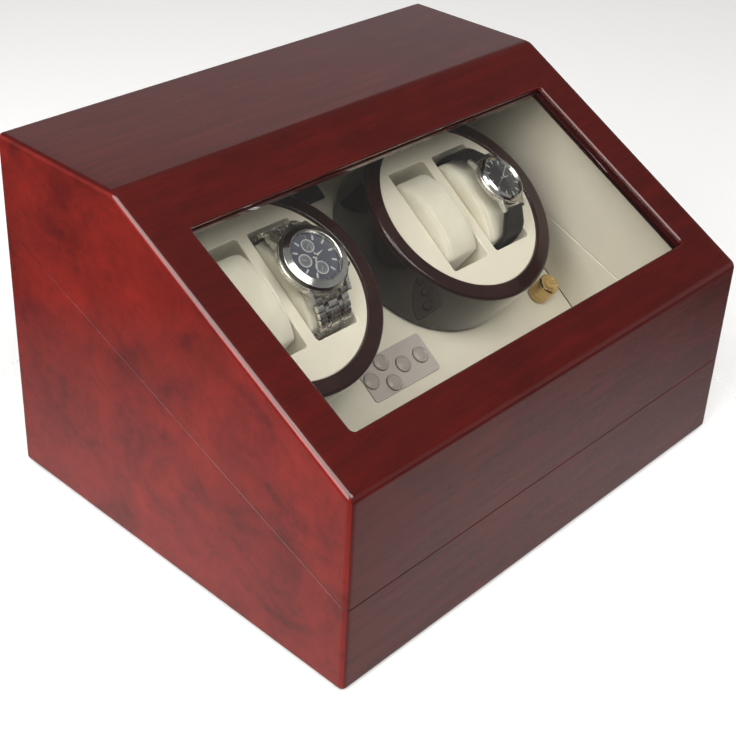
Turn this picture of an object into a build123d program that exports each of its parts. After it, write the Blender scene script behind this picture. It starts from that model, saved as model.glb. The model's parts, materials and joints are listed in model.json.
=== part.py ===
"""Watch winder box for four watches.

A lacquered wooden cabinet with a sloping glazed lid. The cabinet is split along
a slanted plane: the lid is hinged at the back. Inside, an inclined deck carries
two geared turntables. Each turntable has two pockets with a watch pillow.

Units are millimetres. +X is right, +Y is back, +Z is up. The origin is the
centre of the rectangle that the whole object covers on the table, at the
underside of its feet. The cabinet is drawn with z = 0 at the underside of its
walls and y = 0 at mid depth, and write() moves every piece into the final place.
"""

from build123d import *
from math import acos, atan2, cos, degrees, pi, radians, sin, tan
import os

# ---------------------------------------------------------------- cabinet
WIDTH = 340.0
DEPTH = 270.0
HEIGHT = 216.0
FRONT_HEIGHT = 121.8  # top of the lid's short vertical front
TOP_DEPTH = 98.7  # depth of the level top
SPLIT_FRONT = 54.0  # height of the lid's seam at the front
SPLIT_BACK = 161.0  # height of the lid's seam at the back
SEAM_GAP = 0.4
WALL = 10.0
FRAME_THICKNESS = 12.0
EDGE_RADIUS = 3.5
BOTTOM_THICKNESS = 5.0
LINING = 2.0
LINING_GAP = 0.3
FOOT_HEIGHT = 2.0
FOOT_RADIUS = 8.0

# window in the sloping frame, measured along the slope from its lower edge
WINDOW_HALF_WIDTH = 144.0
WINDOW_LOW = 28.2
WINDOW_HIGH = 161.7
REBATE = 5.0
REBATE_SHOULDER = 2.6
GLASS = 3.0
BEAD = 4.0

# hinges
HINGE_X = 95.0
HINGE_LENGTH = 40.0
KNUCKLES = 5
BARREL_RADIUS = 2.5
HINGE_PIN_RADIUS = 1.2
LEAF = 0.9
LEAF_DEPTH = 9.0
LEAF_SCREW_INSET = 5.6
PIN_SETBACK = 1.5  # pin centre behind the cabinet's back
SCREW_RADIUS = 1.4
SCREW_HEAD_RADIUS = 2.7
SCREW_LENGTH = 10.0
SCREW_TIP = 4.0

# ---------------------------------------------------------------- deck
# The deck's own frame has its origin midway between the turntables on the deck's
# top surface: x is across, v is up the slope and n is out of the surface.
DECK_ANGLE = 36.5
DECK_Y = 39.0
DECK_Z = 99.2
DECK_THICKNESS = 6.0
DECK_BACK_Y = 121.0
LEDGE_Z = 30.0
DECK_SIDE_GAP = 0.3
RAIL_WIDTH = 30.0
RAIL_THICKNESS = 12.0
BLOCK = 18.0
BLOCK_HEIGHT = 14.0

KEYPAD_V = -63.8
KEYPAD_SIZE = (57.4, 26.5)
KEYPAD_THICKNESS = 1.2
KEY_RADIUS = 5.3
KEY_GAP = 0.3
KEY_STEM = 2.2
KEY_RISE = 1.6
KEY_TRAVEL = 0.8
KEY_CLUSTER_X = -9.2
KEY_PLACES = {
    "key_up": (KEY_CLUSTER_X, 7.3),
    "key_right": (KEY_CLUSTER_X + 14.0, 0.0),
    "key_down": (KEY_CLUSTER_X, -7.3),
    "key_left": (KEY_CLUSTER_X - 14.0, 0.0),
    "key_mode": (20.3, 0.0),
}
BOARD_TOP = -9.0
BOARD_THICKNESS = 1.6
SWITCH_GAP = 0.9

DISPLAY_V = 66.8
DISPLAY_SIZE = (60.0, 27.0)

THUMBSCREW_X = 137.0
THUMBSCREW_V = -66.0
THUMBSCREW_RADIUS = 7.3
THUMBSCREW_HEIGHT = 15.5
THUMBSCREW_SHANK = 2.0

# ---------------------------------------------------------------- turntables
TURNTABLE_X = 78.5
DRUM_RADIUS = 66.4
DRUM_BOTTOM = 3.0
DRUM_FLOOR = 4.0
DRUM_WALL = 3.0
RIM_OUTER = 67.2
RIM_INNER = 57.0
RIM_BOTTOM = 43.0
RIM_TOP = 47.6
FACE_TOP = 46.0
FACE_THICKNESS = 3.0
POCKET_X = 20.0
POCKET_WIDTH = 32.0
POCKET_LENGTH = 73.0
POCKET_RADIUS = 2.0
TRAY_WALL = 1.2
TRAY_FLOOR_TOP = 10.2

SPINDLE_RADIUS = 5.0
SPINDLE_TAIL = 3.0
RUNNING_CLEARANCE = 0.05
BUSH_RADIUS = 8.0
BUSH_FLANGE = 10.0
GEAR_MODULE = 1.0
GEAR_TEETH = 45
PINION_TEETH = 15
GEAR_TOP = -7.5
GEAR_BOTTOM = -12.5
ADDENDUM = 0.8
DEDENDUM = 1.05
BACKLASH = 0.25
PLATE_TOP = -14.0
PLATE_THICKNESS = 1.5
MOTOR_RADIUS = 12.0
MOTOR_LENGTH = 28.0
MOTOR_BOSS = 4.0
MOTOR_SHAFT = 1.5

# ---------------------------------------------------------------- pillows and watches
PILLOW_LENGTH = 62.0
PILLOW_WIDTH = 30.4
PILLOW_SHOULDER = 43.5
PILLOW_TOP = 55.0
EMPTY_PILLOW_BOTTOM = TRAY_FLOOR_TOP + 0.3
WORN_PILLOW_BOTTOM = 14.5
STRAP_GAP = 0.3

# ---------------------------------------------------------------- power socket
SOCKET_X = 110.0
SOCKET_Z = 30.0
SOCKET_RADIUS = 5.4
SOCKET_BORE = 2.75
SOCKET_BORE_DEPTH = 9.0

SLOPE_ANGLE = degrees(atan2(HEIGHT - FRONT_HEIGHT, DEPTH - TOP_DEPTH))
SPLIT_ANGLE = degrees(atan2(SPLIT_BACK - SPLIT_FRONT, DEPTH))
BACK_OVERHANG = PIN_SETBACK + BARREL_RADIUS
PLACE = Location((0, -BACK_OVERHANG / 2, FOOT_HEIGHT))
DECK = Location(
    Plane(
        origin=(0, DECK_Y, DECK_Z),
        x_dir=(1, 0, 0),
        z_dir=(0, -sin(radians(DECK_ANGLE)), cos(radians(DECK_ANGLE))),
    )
)


# ---------------------------------------------------------------- helpers
def write(name, shape):
    """Move a piece from the cabinet's frame to its final place and save it."""
    solids = [solid.moved(PLACE) for solid in shape.solids()]
    piece = solids[0] if len(solids) == 1 else Compound(children=solids)
    piece.label = name
    export_step(piece, f"parts/{name}.step")


def group(shapes):
    """Several separate solids that share one node."""
    return Compound(children=[s for shape in shapes for s in shape.solids()])


def box(x0, x1, y0, y1, z0, z1):
    """A block between two corners."""
    size = (x1 - x0, y1 - y0, z1 - z0)
    middle = ((x0 + x1) / 2, (y0 + y1) / 2, (z0 + z1) / 2)
    return Pos(*middle) * Box(*size)


def rod(x, y, z0, z1, radius):
    """A round bar along Z."""
    return Pos(x, y, (z0 + z1) / 2) * Cylinder(radius, z1 - z0)


def yz_prism(points, x0, x1):
    """An outline in the side view, (y, z) points, drawn out from x0 to x1."""
    face = Plane.YZ.offset(x0) * Polygon(*points, align=None)
    return extrude(face, x1 - x0, dir=(1, 0, 0))


def split_z(y):
    """Height of the seam plane at depth y."""
    return SPLIT_FRONT + (y + DEPTH / 2) * tan(radians(SPLIT_ANGLE))


def slope_point(along, down=0.0):
    """(y, z) of a point on the sloping front, `down` below its outer surface."""
    angle = radians(SLOPE_ANGLE)
    y = -DEPTH / 2 + along * cos(angle) + down * sin(angle)
    z = FRONT_HEIGHT + along * sin(angle) - down * cos(angle)
    return (y, z)


def deck_point(v, n=0.0):
    """(y, z) in the cabinet of a point given in the deck's frame."""
    angle = radians(DECK_ANGLE)
    y = DECK_Y + v * cos(angle) - n * sin(angle)
    z = DECK_Z + v * sin(angle) + n * cos(angle)
    return (y, z)


def above_seam(x0, x1):
    """Everything above the seam plane."""
    low_front = (-DEPTH, split_z(-DEPTH) + SEAM_GAP / 2)
    low_back = (DEPTH, split_z(DEPTH) + SEAM_GAP / 2)
    return yz_prism([low_front, low_back, (DEPTH, 3 * HEIGHT), (-DEPTH, 3 * HEIGHT)], x0, x1)


def below_seam(x0, x1):
    """Everything below the seam plane."""
    high_front = (-DEPTH, split_z(-DEPTH) - SEAM_GAP / 2)
    high_back = (DEPTH, split_z(DEPTH) - SEAM_GAP / 2)
    return yz_prism([(-DEPTH, -HEIGHT), (DEPTH, -HEIGHT), high_back, high_front], x0, x1)


# ---------------------------------------------------------------- cabinet boards
CREASE_Y = DEPTH / 2 - TOP_DEPTH
INNER_X = WIDTH / 2 - WALL
INNER_Y = DEPTH / 2 - WALL
SEAM_FRAME = Plane(
    origin=(0, DEPTH / 2, SPLIT_BACK),
    x_dir=(1, 0, 0),
    z_dir=(0, -sin(radians(SPLIT_ANGLE)), cos(radians(SPLIT_ANGLE))),
)
PIN_Y = DEPTH / 2 + PIN_SETBACK
PIN_Z = split_z(PIN_Y)


def cabinet_outline():
    """Side view of the closed cabinet."""
    half = DEPTH / 2
    return [(-half, 0), (half, 0), (half, HEIGHT), (CREASE_Y, HEIGHT), (-half, FRONT_HEIGHT)]


def cabinet_solid():
    """The closed cabinet as one block with its rounded edges."""
    block = yz_prism(cabinet_outline(), -WIDTH / 2, WIDTH / 2)
    return fillet(block.edges(), EDGE_RADIUS)


def inner_zone():
    """The stretch between the two side boards."""
    return box(-INNER_X, INNER_X, -DEPTH, DEPTH, -HEIGHT, 2 * HEIGHT)


def slope_zone():
    """The slab behind the sloping front, from the front edge to the crease."""
    low = slope_point(-60)
    low_inner = slope_point(-60, FRAME_THICKNESS)
    reach = (CREASE_Y + DEPTH / 2) / cos(radians(SLOPE_ANGLE))
    drop = FRAME_THICKNESS / cos(radians(SLOPE_ANGLE))
    high = slope_point(reach)
    points = [low, low_inner, (CREASE_Y, high[1] - drop), (CREASE_Y, high[1] + 10), (low[0], high[1] + 10)]
    return yz_prism(points, -WIDTH, WIDTH)


def side_boards(block):
    """Left and right boards of the whole cabinet."""
    left = block & box(-WIDTH, -INNER_X, -DEPTH, DEPTH, -HEIGHT, 2 * HEIGHT)
    right = block & box(INNER_X, WIDTH, -DEPTH, DEPTH, -HEIGHT, 2 * HEIGHT)
    return left, right


def front_board(block):
    """Front board of the whole cabinet, below the sloping frame."""
    return block & inner_zone() & box(-WIDTH, WIDTH, -DEPTH, -INNER_Y, -1, HEIGHT) - slope_zone()


def back_board(block):
    """Back board of the whole cabinet, below the top board."""
    return block & inner_zone() & box(-WIDTH, WIDTH, INNER_Y, DEPTH, -1, HEIGHT - WALL)


def top_board(block):
    """Level top behind the crease."""
    return block & inner_zone() & box(-WIDTH, WIDTH, CREASE_Y, DEPTH, HEIGHT - WALL, 2 * HEIGHT)


def slope_slab(x_half, low, high, outer, inner):
    """A slab in the sloping front, between two distances along it and two depths below it."""
    points = [slope_point(low, outer), slope_point(high, outer), slope_point(high, inner), slope_point(low, inner)]
    return yz_prism(points, -x_half, x_half)


def window_frame(block):
    """Sloping board with the window opening and a rebate underneath for the glass."""
    board = block & inner_zone() & slope_zone()
    depth = FRAME_THICKNESS + 10
    opening = slope_slab(WINDOW_HALF_WIDTH, WINDOW_LOW, WINDOW_HIGH, -5, depth - 5)
    corners = opening.edges().filter_by(lambda edge: abs(edge.length - depth) < 0.01)
    opening = fillet(corners, 3.0)
    rebate = slope_slab(
        WINDOW_HALF_WIDTH + REBATE,
        WINDOW_LOW - REBATE,
        WINDOW_HIGH + REBATE,
        REBATE_SHOULDER,
        depth - 5,
    )
    return board - opening - rebate


def window_glass():
    """Pane that lies in the rebate."""
    fit = REBATE - 0.5
    return slope_slab(
        WINDOW_HALF_WIDTH + fit,
        WINDOW_LOW - fit,
        WINDOW_HIGH + fit,
        REBATE_SHOULDER,
        REBATE_SHOULDER + GLASS,
    )


def glazing_beads():
    """Four strips under the glass that hold it in the rebate."""
    outer = REBATE - 0.2
    top = REBATE_SHOULDER + GLASS
    whole = slope_slab(WINDOW_HALF_WIDTH + outer, WINDOW_LOW - outer, WINDOW_HIGH + outer, top, top + BEAD)
    hole = slope_slab(WINDOW_HALF_WIDTH, WINDOW_LOW, WINDOW_HIGH, top - 1, top + BEAD + 1)
    ring = whole - hole
    sides = box(-WINDOW_HALF_WIDTH, WINDOW_HALF_WIDTH, -DEPTH, DEPTH, 0, 2 * HEIGHT)
    return group([ring & sides, ring - sides])


def bottom_board():
    """Bottom set between the four walls."""
    return box(-INNER_X, INNER_X, -INNER_Y, INNER_Y, 0, BOTTOM_THICKNESS)


def corner_places():
    """Signs of the four corners."""
    return [(sx, sy) for sx in (-1, 1) for sy in (-1, 1)]


def corner_blocks():
    """Glue blocks in the bottom corners, drilled for the bottom's screws."""
    blocks = []
    for sx, sy in corner_places():
        x = sx * (INNER_X - BLOCK / 2)
        y = sy * (INNER_Y - BLOCK / 2)
        blocks.append(Pos(x, y, BOTTOM_THICKNESS + BLOCK_HEIGHT / 2) * Box(BLOCK, BLOCK, BLOCK_HEIGHT))
    drilled = []
    for block, place in zip(blocks, bottom_screw_places()):
        drilled.append(block - place * screw_hole())
    return group(drilled)


def screw():
    """Countersunk wood screw: its head's top is at z = 0 and it points down."""
    head = Pos(0, 0, -0.7) * Cone(SCREW_RADIUS, SCREW_HEAD_RADIUS, 1.4)
    straight = SCREW_LENGTH - SCREW_TIP
    shank = Pos(0, 0, -straight / 2) * Cylinder(SCREW_RADIUS, straight)
    shank += Pos(0, 0, -straight - SCREW_TIP / 2) * Cone(0.3, SCREW_RADIUS, SCREW_TIP)
    cross = Pos(0, 0, -0.4) * (Box(3.2, 0.7, 0.8) + Box(0.7, 3.2, 0.8))
    return head + shank - cross


def screw_hole():
    """Room for one screw, head and shank, a little beyond its head."""
    head = Pos(0, 0, -0.7) * Cone(SCREW_RADIUS, SCREW_HEAD_RADIUS, 1.4)
    head += Pos(0, 0, 0.5) * Cylinder(SCREW_HEAD_RADIUS, 1.0)
    straight = SCREW_LENGTH - SCREW_TIP
    shank = Pos(0, 0, -straight / 2) * Cylinder(SCREW_RADIUS, straight)
    return head + shank + Pos(0, 0, -straight - SCREW_TIP / 2) * Cone(0.3, SCREW_RADIUS, SCREW_TIP)


def bottom_screw_places():
    """Four screws up through the bottom into the corner blocks."""
    flip = Rot(180, 0, 0)
    places = []
    for sx, sy in corner_places():
        places.append(Pos(sx * (INNER_X - BLOCK / 2), sy * (INNER_Y - BLOCK / 2), 0) * flip)
    return places


def feet():
    """Four round rubber feet stuck under the bottom."""
    pads = []
    for sx, sy in corner_places():
        pad = rod(sx * (INNER_X - 30), sy * (INNER_Y - 30), -FOOT_HEIGHT, 0, FOOT_RADIUS)
        pads.append(fillet(pad.edges().group_by(Axis.Z)[0], 0.6))
    return group(pads)


# ---------------------------------------------------------------- linings
def base_zone_above_deck():
    """Space in the base between the deck's top surface and the seam."""
    foot_of_slope = ((LEDGE_Z - DECK_Z) / tan(radians(DECK_ANGLE))) + DECK_Y
    back = DEPTH / 2 - WALL
    points = [
        (-INNER_Y, LEDGE_Z),
        (foot_of_slope, LEDGE_Z),
        (back, DECK_Z + (back - DECK_Y) * tan(radians(DECK_ANGLE))),
        (back, HEIGHT),
        (-INNER_Y, HEIGHT),
    ]
    return yz_prism(points, -INNER_X, INNER_X)


def side_lining(side, zone):
    """Ivory lining on one side wall, cut to a zone."""
    x0, x1 = sorted((side * (INNER_X - LINING), side * INNER_X))
    return zone & box(x0, x1, -DEPTH, DEPTH, 0, 2 * HEIGHT)


def base_lining(side):
    """Lining on one side of the base, above the deck."""
    return side_lining(side, base_zone_above_deck() & below_seam(-WIDTH, WIDTH))


def lid_inside():
    """Hollow of the lid between its boards."""
    drop = FRAME_THICKNESS / cos(radians(SLOPE_ANGLE))
    low = FRONT_HEIGHT + (-INNER_Y + DEPTH / 2) * tan(radians(SLOPE_ANGLE)) - drop
    points = [
        (-INNER_Y, 0),
        (INNER_Y, 0),
        (INNER_Y, HEIGHT - WALL),
        (CREASE_Y, HEIGHT - WALL),
        (CREASE_Y, HEIGHT - drop),
        (-INNER_Y, low),
    ]
    return yz_prism(points, -INNER_X, INNER_X) & above_seam(-WIDTH, WIDTH)


def lid_side_lining(side):
    """Lining on one side of the lid."""
    return side_lining(side, lid_inside())


def lid_back_lining():
    """Lining folded from the top of the lid down its back."""
    half = INNER_X - LINING
    back = box(-half, half, INNER_Y - LINING, INNER_Y, 0, HEIGHT - WALL)
    top = box(-half, half, CREASE_Y, INNER_Y, HEIGHT - WALL - LINING, HEIGHT - WALL)
    return (back + top) & above_seam(-WIDTH, WIDTH)


# ---------------------------------------------------------------- hinges
def on_seam(x, inset):
    """A place on the seam plane, `inset` in from the back, z along the plane's normal."""
    return Location(SEAM_FRAME) * Pos(x, -inset, 0)


def hinge_barrel(x0, x1, radius):
    """A round length along a hinge's axis."""
    return Pos((x0 + x1) / 2, PIN_Y, PIN_Z) * Rot(0, 90, 0) * Cylinder(radius, x1 - x0)


def knuckle_spans(x, upper):
    """X ranges of the knuckles that belong to the lid's leaf or to the base's."""
    pitch = HINGE_LENGTH / KNUCKLES
    start = x - HINGE_LENGTH / 2
    first = 1 if upper else 0
    return [(start + i * pitch, start + (i + 1) * pitch) for i in range(first, KNUCKLES, 2)]


def hinge_screw_places(upper):
    """Screws through the leaves, down into the base or up into the lid."""
    side = 1 if upper else -1
    turn = Rot(180, 0, 0) if upper else Rot(0, 0, 0)
    places = []
    for hinge in (-HINGE_X, HINGE_X):
        for offset in (-13, 13):
            places.append(on_seam(hinge + offset, LEAF_SCREW_INSET) * Pos(0, 0, side * SEAM_GAP / 2) * turn)
    return places


def leaf_slab(x, upper, extra=0.0):
    """Flat part of one leaf; `extra` grows it into its mortise."""
    sign = 1 if upper else -1
    middle = sign * (SEAM_GAP / 2 + LEAF / 2)
    length = HINGE_LENGTH + 2 * extra
    slab = Box(length, LEAF_DEPTH + PIN_SETBACK + extra, LEAF + extra)
    return on_seam(x, (LEAF_DEPTH - PIN_SETBACK + extra) / 2) * Pos(0, 0, middle) * slab


def hinge_leaf(x, upper):
    """One leaf with its knuckles, bored for the pin and drilled for two screws."""
    leaf = leaf_slab(x, upper)
    for x0, x1 in knuckle_spans(x, not upper):
        leaf -= hinge_barrel(x0 - 0.15, x1 + 0.15, BARREL_RADIUS + 0.3)
    for x0, x1 in knuckle_spans(x, upper):
        leaf += hinge_barrel(x0 + 0.15, x1 - 0.15, BARREL_RADIUS)
    clearance = RUNNING_CLEARANCE if upper else 0.0
    leaf -= hinge_barrel(x - HINGE_LENGTH, x + HINGE_LENGTH, HINGE_PIN_RADIUS + clearance)
    for place in hinge_screw_places(upper):
        leaf -= place * screw_hole()
    return leaf


def hinge_leaves(upper):
    """Both hinges' leaves on one half of the cabinet."""
    return group([hinge_leaf(x, upper) for x in (-HINGE_X, HINGE_X)])


def hinge_pins():
    """The two hinge pins."""
    half = HINGE_LENGTH / 2
    return group([hinge_barrel(x - half, x + half, HINGE_PIN_RADIUS) for x in (-HINGE_X, HINGE_X)])


def cut_for_hinges(board, upper):
    """Mortises, barrel grooves and screw holes in a back board."""
    for x in (-HINGE_X, HINGE_X):
        half = HINGE_LENGTH / 2 + 0.3
        board -= leaf_slab(x, upper, 0.02)
        board -= hinge_barrel(x - half, x + half, BARREL_RADIUS + 0.4)
    for place in hinge_screw_places(upper):
        board -= place * screw_hole()
    return board


# ---------------------------------------------------------------- deck and what it carries
def deck_slab(x_half, v0, v1, n0, n1):
    """A block in the deck's frame, symmetric across."""
    return Pos(0, (v0 + v1) / 2, (n0 + n1) / 2) * Box(2 * x_half, v1 - v0, n1 - n0)


def deck_panel():
    """Inclined ivory deck with a level ledge along the front."""
    slope = tan(radians(DECK_ANGLE))
    under = DECK_THICKNESS / cos(radians(DECK_ANGLE))
    top_foot = DECK_Y + (LEDGE_Z - DECK_Z) / slope
    under_foot = DECK_Y + (LEDGE_Z - DECK_THICKNESS - DECK_Z + under) / slope
    back_top = DECK_Z + (DECK_BACK_Y - DECK_Y) * slope
    front = -INNER_Y + DECK_SIDE_GAP
    points = [
        (front, LEDGE_Z),
        (top_foot, LEDGE_Z),
        (DECK_BACK_Y, back_top),
        (DECK_BACK_Y, back_top - under),
        (under_foot, LEDGE_Z - DECK_THICKNESS),
        (front, LEDGE_Z - DECK_THICKNESS),
    ]
    half = INNER_X - LINING - DECK_SIDE_GAP
    panel = yz_prism(points, -half, half)
    cuts = [deck_slab(KEYPAD_SIZE[0] / 2 - 2.5, KEYPAD_V - 10.6, KEYPAD_V + 10.6, -20, 20)]
    cuts.append(deck_slab(DISPLAY_SIZE[0] / 2 - 2, DISPLAY_V - 11.5, DISPLAY_V + 11.5, -20, 20))
    for side in (-1, 1):
        cuts.append(rod(side * TURNTABLE_X, 0, -20, 20, BUSH_RADIUS))
        cuts.append(rod(side * THUMBSCREW_X, THUMBSCREW_V, -20, 20, THUMBSCREW_SHANK + 0.6))
    for cut in cuts:
        panel -= DECK * cut
    return panel


def deck_rails():
    """Battens along both sides that the deck lies on, bored for the thumbscrews."""
    half = INNER_X
    top = -DECK_THICKNESS
    beam = deck_slab(half, -108, 96, top - RAIL_THICKNESS, top)
    middle = deck_slab(half - RAIL_WIDTH, -200, 200, top - 50, top + 50)
    pair = beam - middle
    for side in (-1, 1):
        pair -= rod(side * THUMBSCREW_X, THUMBSCREW_V, -40, 20, THUMBSCREW_SHANK + RUNNING_CLEARANCE)
    inside = box(-INNER_X, INNER_X, -INNER_Y, INNER_Y, BOTTOM_THICKNESS, HEIGHT)
    return group([(DECK * pair) & inside & below_seam(-WIDTH, WIDTH)])


def keypad_plate():
    """Thin grey plate with a hole for each key."""
    plate = Pos(0, KEYPAD_V, KEYPAD_THICKNESS / 2) * Box(*KEYPAD_SIZE, KEYPAD_THICKNESS)
    plate = fillet(plate.edges().filter_by(Axis.Z), 2.5)
    tray = deck_slab(KEYPAD_SIZE[0] / 2 - 2.7, KEYPAD_V - 10.4, KEYPAD_V + 10.4, -3, 0.6)
    for x, v in KEY_PLACES.values():
        plate -= rod(x, KEYPAD_V + v, -10, 10, KEY_RADIUS + KEY_GAP)
        tray -= rod(x, KEYPAD_V + v, 0, 10, KEY_RADIUS + KEY_GAP)
        tray -= rod(x, KEYPAD_V + v, -10, 10, KEY_STEM + KEY_GAP)
    return DECK * (plate + tray)


def key(name):
    """Domed round key with a stem that reaches its switch."""
    x, v = KEY_PLACES[name]
    cap_bottom = KEY_TRAVEL + 0.2
    cap = rod(x, KEYPAD_V + v, cap_bottom, KEYPAD_THICKNESS + KEY_RISE, KEY_RADIUS)
    cap = fillet(cap.edges().group_by(Axis.Z)[-1], KEY_RISE * 0.9)
    stem = rod(x, KEYPAD_V + v, BOARD_TOP + 1.0 + SWITCH_GAP, cap_bottom, KEY_STEM)
    return DECK * (cap + stem)


def control_board():
    """Circuit board under the keypad, with a switch under each key and four spacers."""
    half = (37.0, 17.0)
    board = deck_slab(half[0], KEYPAD_V - half[1], KEYPAD_V + half[1], BOARD_TOP - BOARD_THICKNESS, BOARD_TOP)
    for x, v in KEY_PLACES.values():
        board += rod(x, KEYPAD_V + v, BOARD_TOP, BOARD_TOP + 1.0, 2.6)
    for sx, sy in corner_places():
        board += rod(sx * (half[0] - 3), KEYPAD_V + sy * (half[1] - 3), BOARD_TOP, -DECK_THICKNESS, 2.2)
    board += deck_slab(9, KEYPAD_V - 6, KEYPAD_V + 6, BOARD_TOP - BOARD_THICKNESS - 2, BOARD_TOP - BOARD_THICKNESS)
    return DECK * board


def display_window():
    """Dark panel of the display, let into the deck above the turntables."""
    cover = Pos(0, DISPLAY_V, 0.5) * Box(*DISPLAY_SIZE, 1.0)
    cover = fillet(cover.edges().filter_by(Axis.Z), 1.5)
    body = deck_slab(DISPLAY_SIZE[0] / 2 - 2.2, DISPLAY_V - 11.3, DISPLAY_V + 11.3, -7, 0)
    return DECK * (cover + body)


def thumbscrew(side):
    """Turned brass screw that holds the deck down."""
    x = side * THUMBSCREW_X
    radius = THUMBSCREW_RADIUS
    top = 0.3 + THUMBSCREW_HEIGHT
    outline = Polyline(
        (0, 0.3),
        (radius * 0.8, 0.3),
        (radius, 1.6),
        (radius, top - 1.6),
        (radius - 1.4, top),
        (0, top - 1.2),
        close=True,
    )
    head = revolve(Plane.XZ * make_face(outline), Axis.Z)
    shank = Pos(0, 0, -9) * Cylinder(THUMBSCREW_SHANK, 19)
    return DECK * Pos(x, THUMBSCREW_V, 0) * (head + shank)


# ---------------------------------------------------------------- drive under the deck
def tooth_points(teeth, angle):
    """Involute outline of one tooth, centred on an angle."""
    pitch = GEAR_MODULE * teeth / 2
    base = pitch * cos(radians(20))
    tip = pitch + ADDENDUM * GEAR_MODULE
    root = pitch - DEDENDUM * GEAR_MODULE
    half_at_pitch = pi / (2 * teeth) - BACKLASH / (2 * pitch)
    pitch_involute = tan(radians(20)) - radians(20)
    start = max(base, root)
    flank = []
    for i in range(6):
        radius = start + (tip - start) * i / 5
        roll = acos(min(1.0, base / radius))
        half = half_at_pitch + pitch_involute - (tan(roll) - roll)
        flank.append((radius, half))
    flank.insert(0, (root - 0.6, flank[0][1]))
    rising = [(r * cos(angle - h), r * sin(angle - h)) for r, h in flank]
    falling = [(r * cos(angle + h), r * sin(angle + h)) for r, h in reversed(flank)]
    return rising + falling


def spur_gear(teeth, first_angle):
    """Spur gear between the gear heights, with a tooth centred on the first angle."""
    root = GEAR_MODULE * teeth / 2 - DEDENDUM * GEAR_MODULE
    step = 2 * pi / teeth
    outline = Circle(root)
    for i in range(teeth):
        outline += Polygon(*tooth_points(teeth, first_angle + i * step), align=None)
    return Pos(0, 0, GEAR_BOTTOM) * extrude(outline, GEAR_TOP - GEAR_BOTTOM)


def turntable_gear(side):
    """Moulded wheel with its spindle, pushed up through the deck's bush."""
    wheel = spur_gear(GEAR_TEETH, -pi / 2)
    for i in range(6):
        wheel -= Rot(0, 0, 60 * i + 30) * rod(14, 0, -20, 0, 4.5)
    spindle = rod(0, 0, GEAR_BOTTOM, DRUM_BOTTOM + DRUM_FLOOR - 0.5, SPINDLE_RADIUS)
    tail = rod(0, 0, PLATE_TOP - PLATE_THICKNESS - 2, GEAR_BOTTOM, SPINDLE_TAIL)
    return DECK * Pos(side * TURNTABLE_X, 0, 0) * (wheel + spindle + tail)


def motor_v():
    """Distance of the motor's shaft below the spindle, along the deck."""
    return -GEAR_MODULE * (GEAR_TEETH + PINION_TEETH) / 2


def motor_pinion(side):
    """Small gear on the motor's shaft, in mesh with the turntable's wheel."""
    pinion = spur_gear(PINION_TEETH, -pi / 2)
    shaft = rod(0, 0, PLATE_TOP - 9.0, GEAR_BOTTOM, MOTOR_SHAFT)
    return DECK * Pos(side * TURNTABLE_X, motor_v(), 0) * (pinion + shaft)


def gear_motor(side):
    """Round geared motor that hangs under the mechanism plate."""
    top = PLATE_TOP - PLATE_THICKNESS
    body = rod(0, 0, top - MOTOR_LENGTH, top, MOTOR_RADIUS)
    body = fillet(body.edges().group_by(Axis.Z)[0], 1.5)
    gearbox_flange = rod(0, 0, top - 8, top, MOTOR_RADIUS + 1.2)
    boss = rod(0, 0, top, PLATE_TOP + 0.4, MOTOR_BOSS)
    bore = rod(0, 0, top - 9.0, 0, MOTOR_SHAFT + RUNNING_CLEARANCE)
    motor = body + gearbox_flange + boss
    for offset in (-5, 5):
        motor += Pos(offset, 0, top - MOTOR_LENGTH - 1.5) * Box(2.4, 0.6, 3.4)
    return DECK * Pos(side * TURNTABLE_X, motor_v(), 0) * (motor - bore)


def mechanism_plate():
    """Pressed plate under the deck that carries both motors and the spindles' tails."""
    top = PLATE_TOP
    plate = deck_slab(108, -46, 29, top - PLATE_THICKNESS, top)
    plate = fillet(plate.edges().filter_by(Axis.Z), 6)
    for x, v in ((-96, -38), (0, -38), (96, -38), (-101, 22), (0, 22), (101, 22)):
        plate += rod(x, v, top, -DECK_THICKNESS, 3.5)
    for side in (-1, 1):
        plate -= rod(side * TURNTABLE_X, 0, -40, 0, SPINDLE_TAIL + RUNNING_CLEARANCE)
        plate -= rod(side * TURNTABLE_X, motor_v(), -40, 0, MOTOR_BOSS + 0.05)
    return DECK * plate


def spindle_bushes():
    """Flanged bushes in the deck that the spindles turn in."""
    bushes = []
    for side in (-1, 1):
        bush = rod(0, 0, -DECK_THICKNESS, 0, BUSH_RADIUS) + rod(0, 0, 0, 0.8, BUSH_FLANGE)
        bush -= rod(0, 0, -20, 20, SPINDLE_RADIUS + RUNNING_CLEARANCE)
        bushes.append(DECK * Pos(side * TURNTABLE_X, 0, 0) * bush)
    return group(bushes)


# ---------------------------------------------------------------- turntables
def drum(side):
    """Dark lacquered cup with a hub that takes the spindle."""
    floor_top = DRUM_BOTTOM + DRUM_FLOOR
    cup = rod(0, 0, DRUM_BOTTOM, RIM_BOTTOM, DRUM_RADIUS)
    cup = fillet(cup.edges().group_by(Axis.Z)[0], 1.5)
    cup -= rod(0, 0, floor_top, RIM_BOTTOM + 5, DRUM_RADIUS - DRUM_WALL)
    cup += rod(0, 0, 1.2, DRUM_BOTTOM, SPINDLE_RADIUS + 4)
    cup -= rod(0, 0, 0, floor_top - 0.5, SPINDLE_RADIUS)
    return DECK * Pos(side * TURNTABLE_X, 0, 0) * cup


def rim(side):
    """Rounded ring around the face."""
    ring = rod(0, 0, RIM_BOTTOM, RIM_TOP, RIM_OUTER) - rod(0, 0, RIM_BOTTOM - 1, RIM_TOP + 1, RIM_INNER)
    ring = fillet(ring.edges().group_by(Axis.Z)[-1], 1.8)
    return DECK * Pos(side * TURNTABLE_X, 0, 0) * ring


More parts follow.
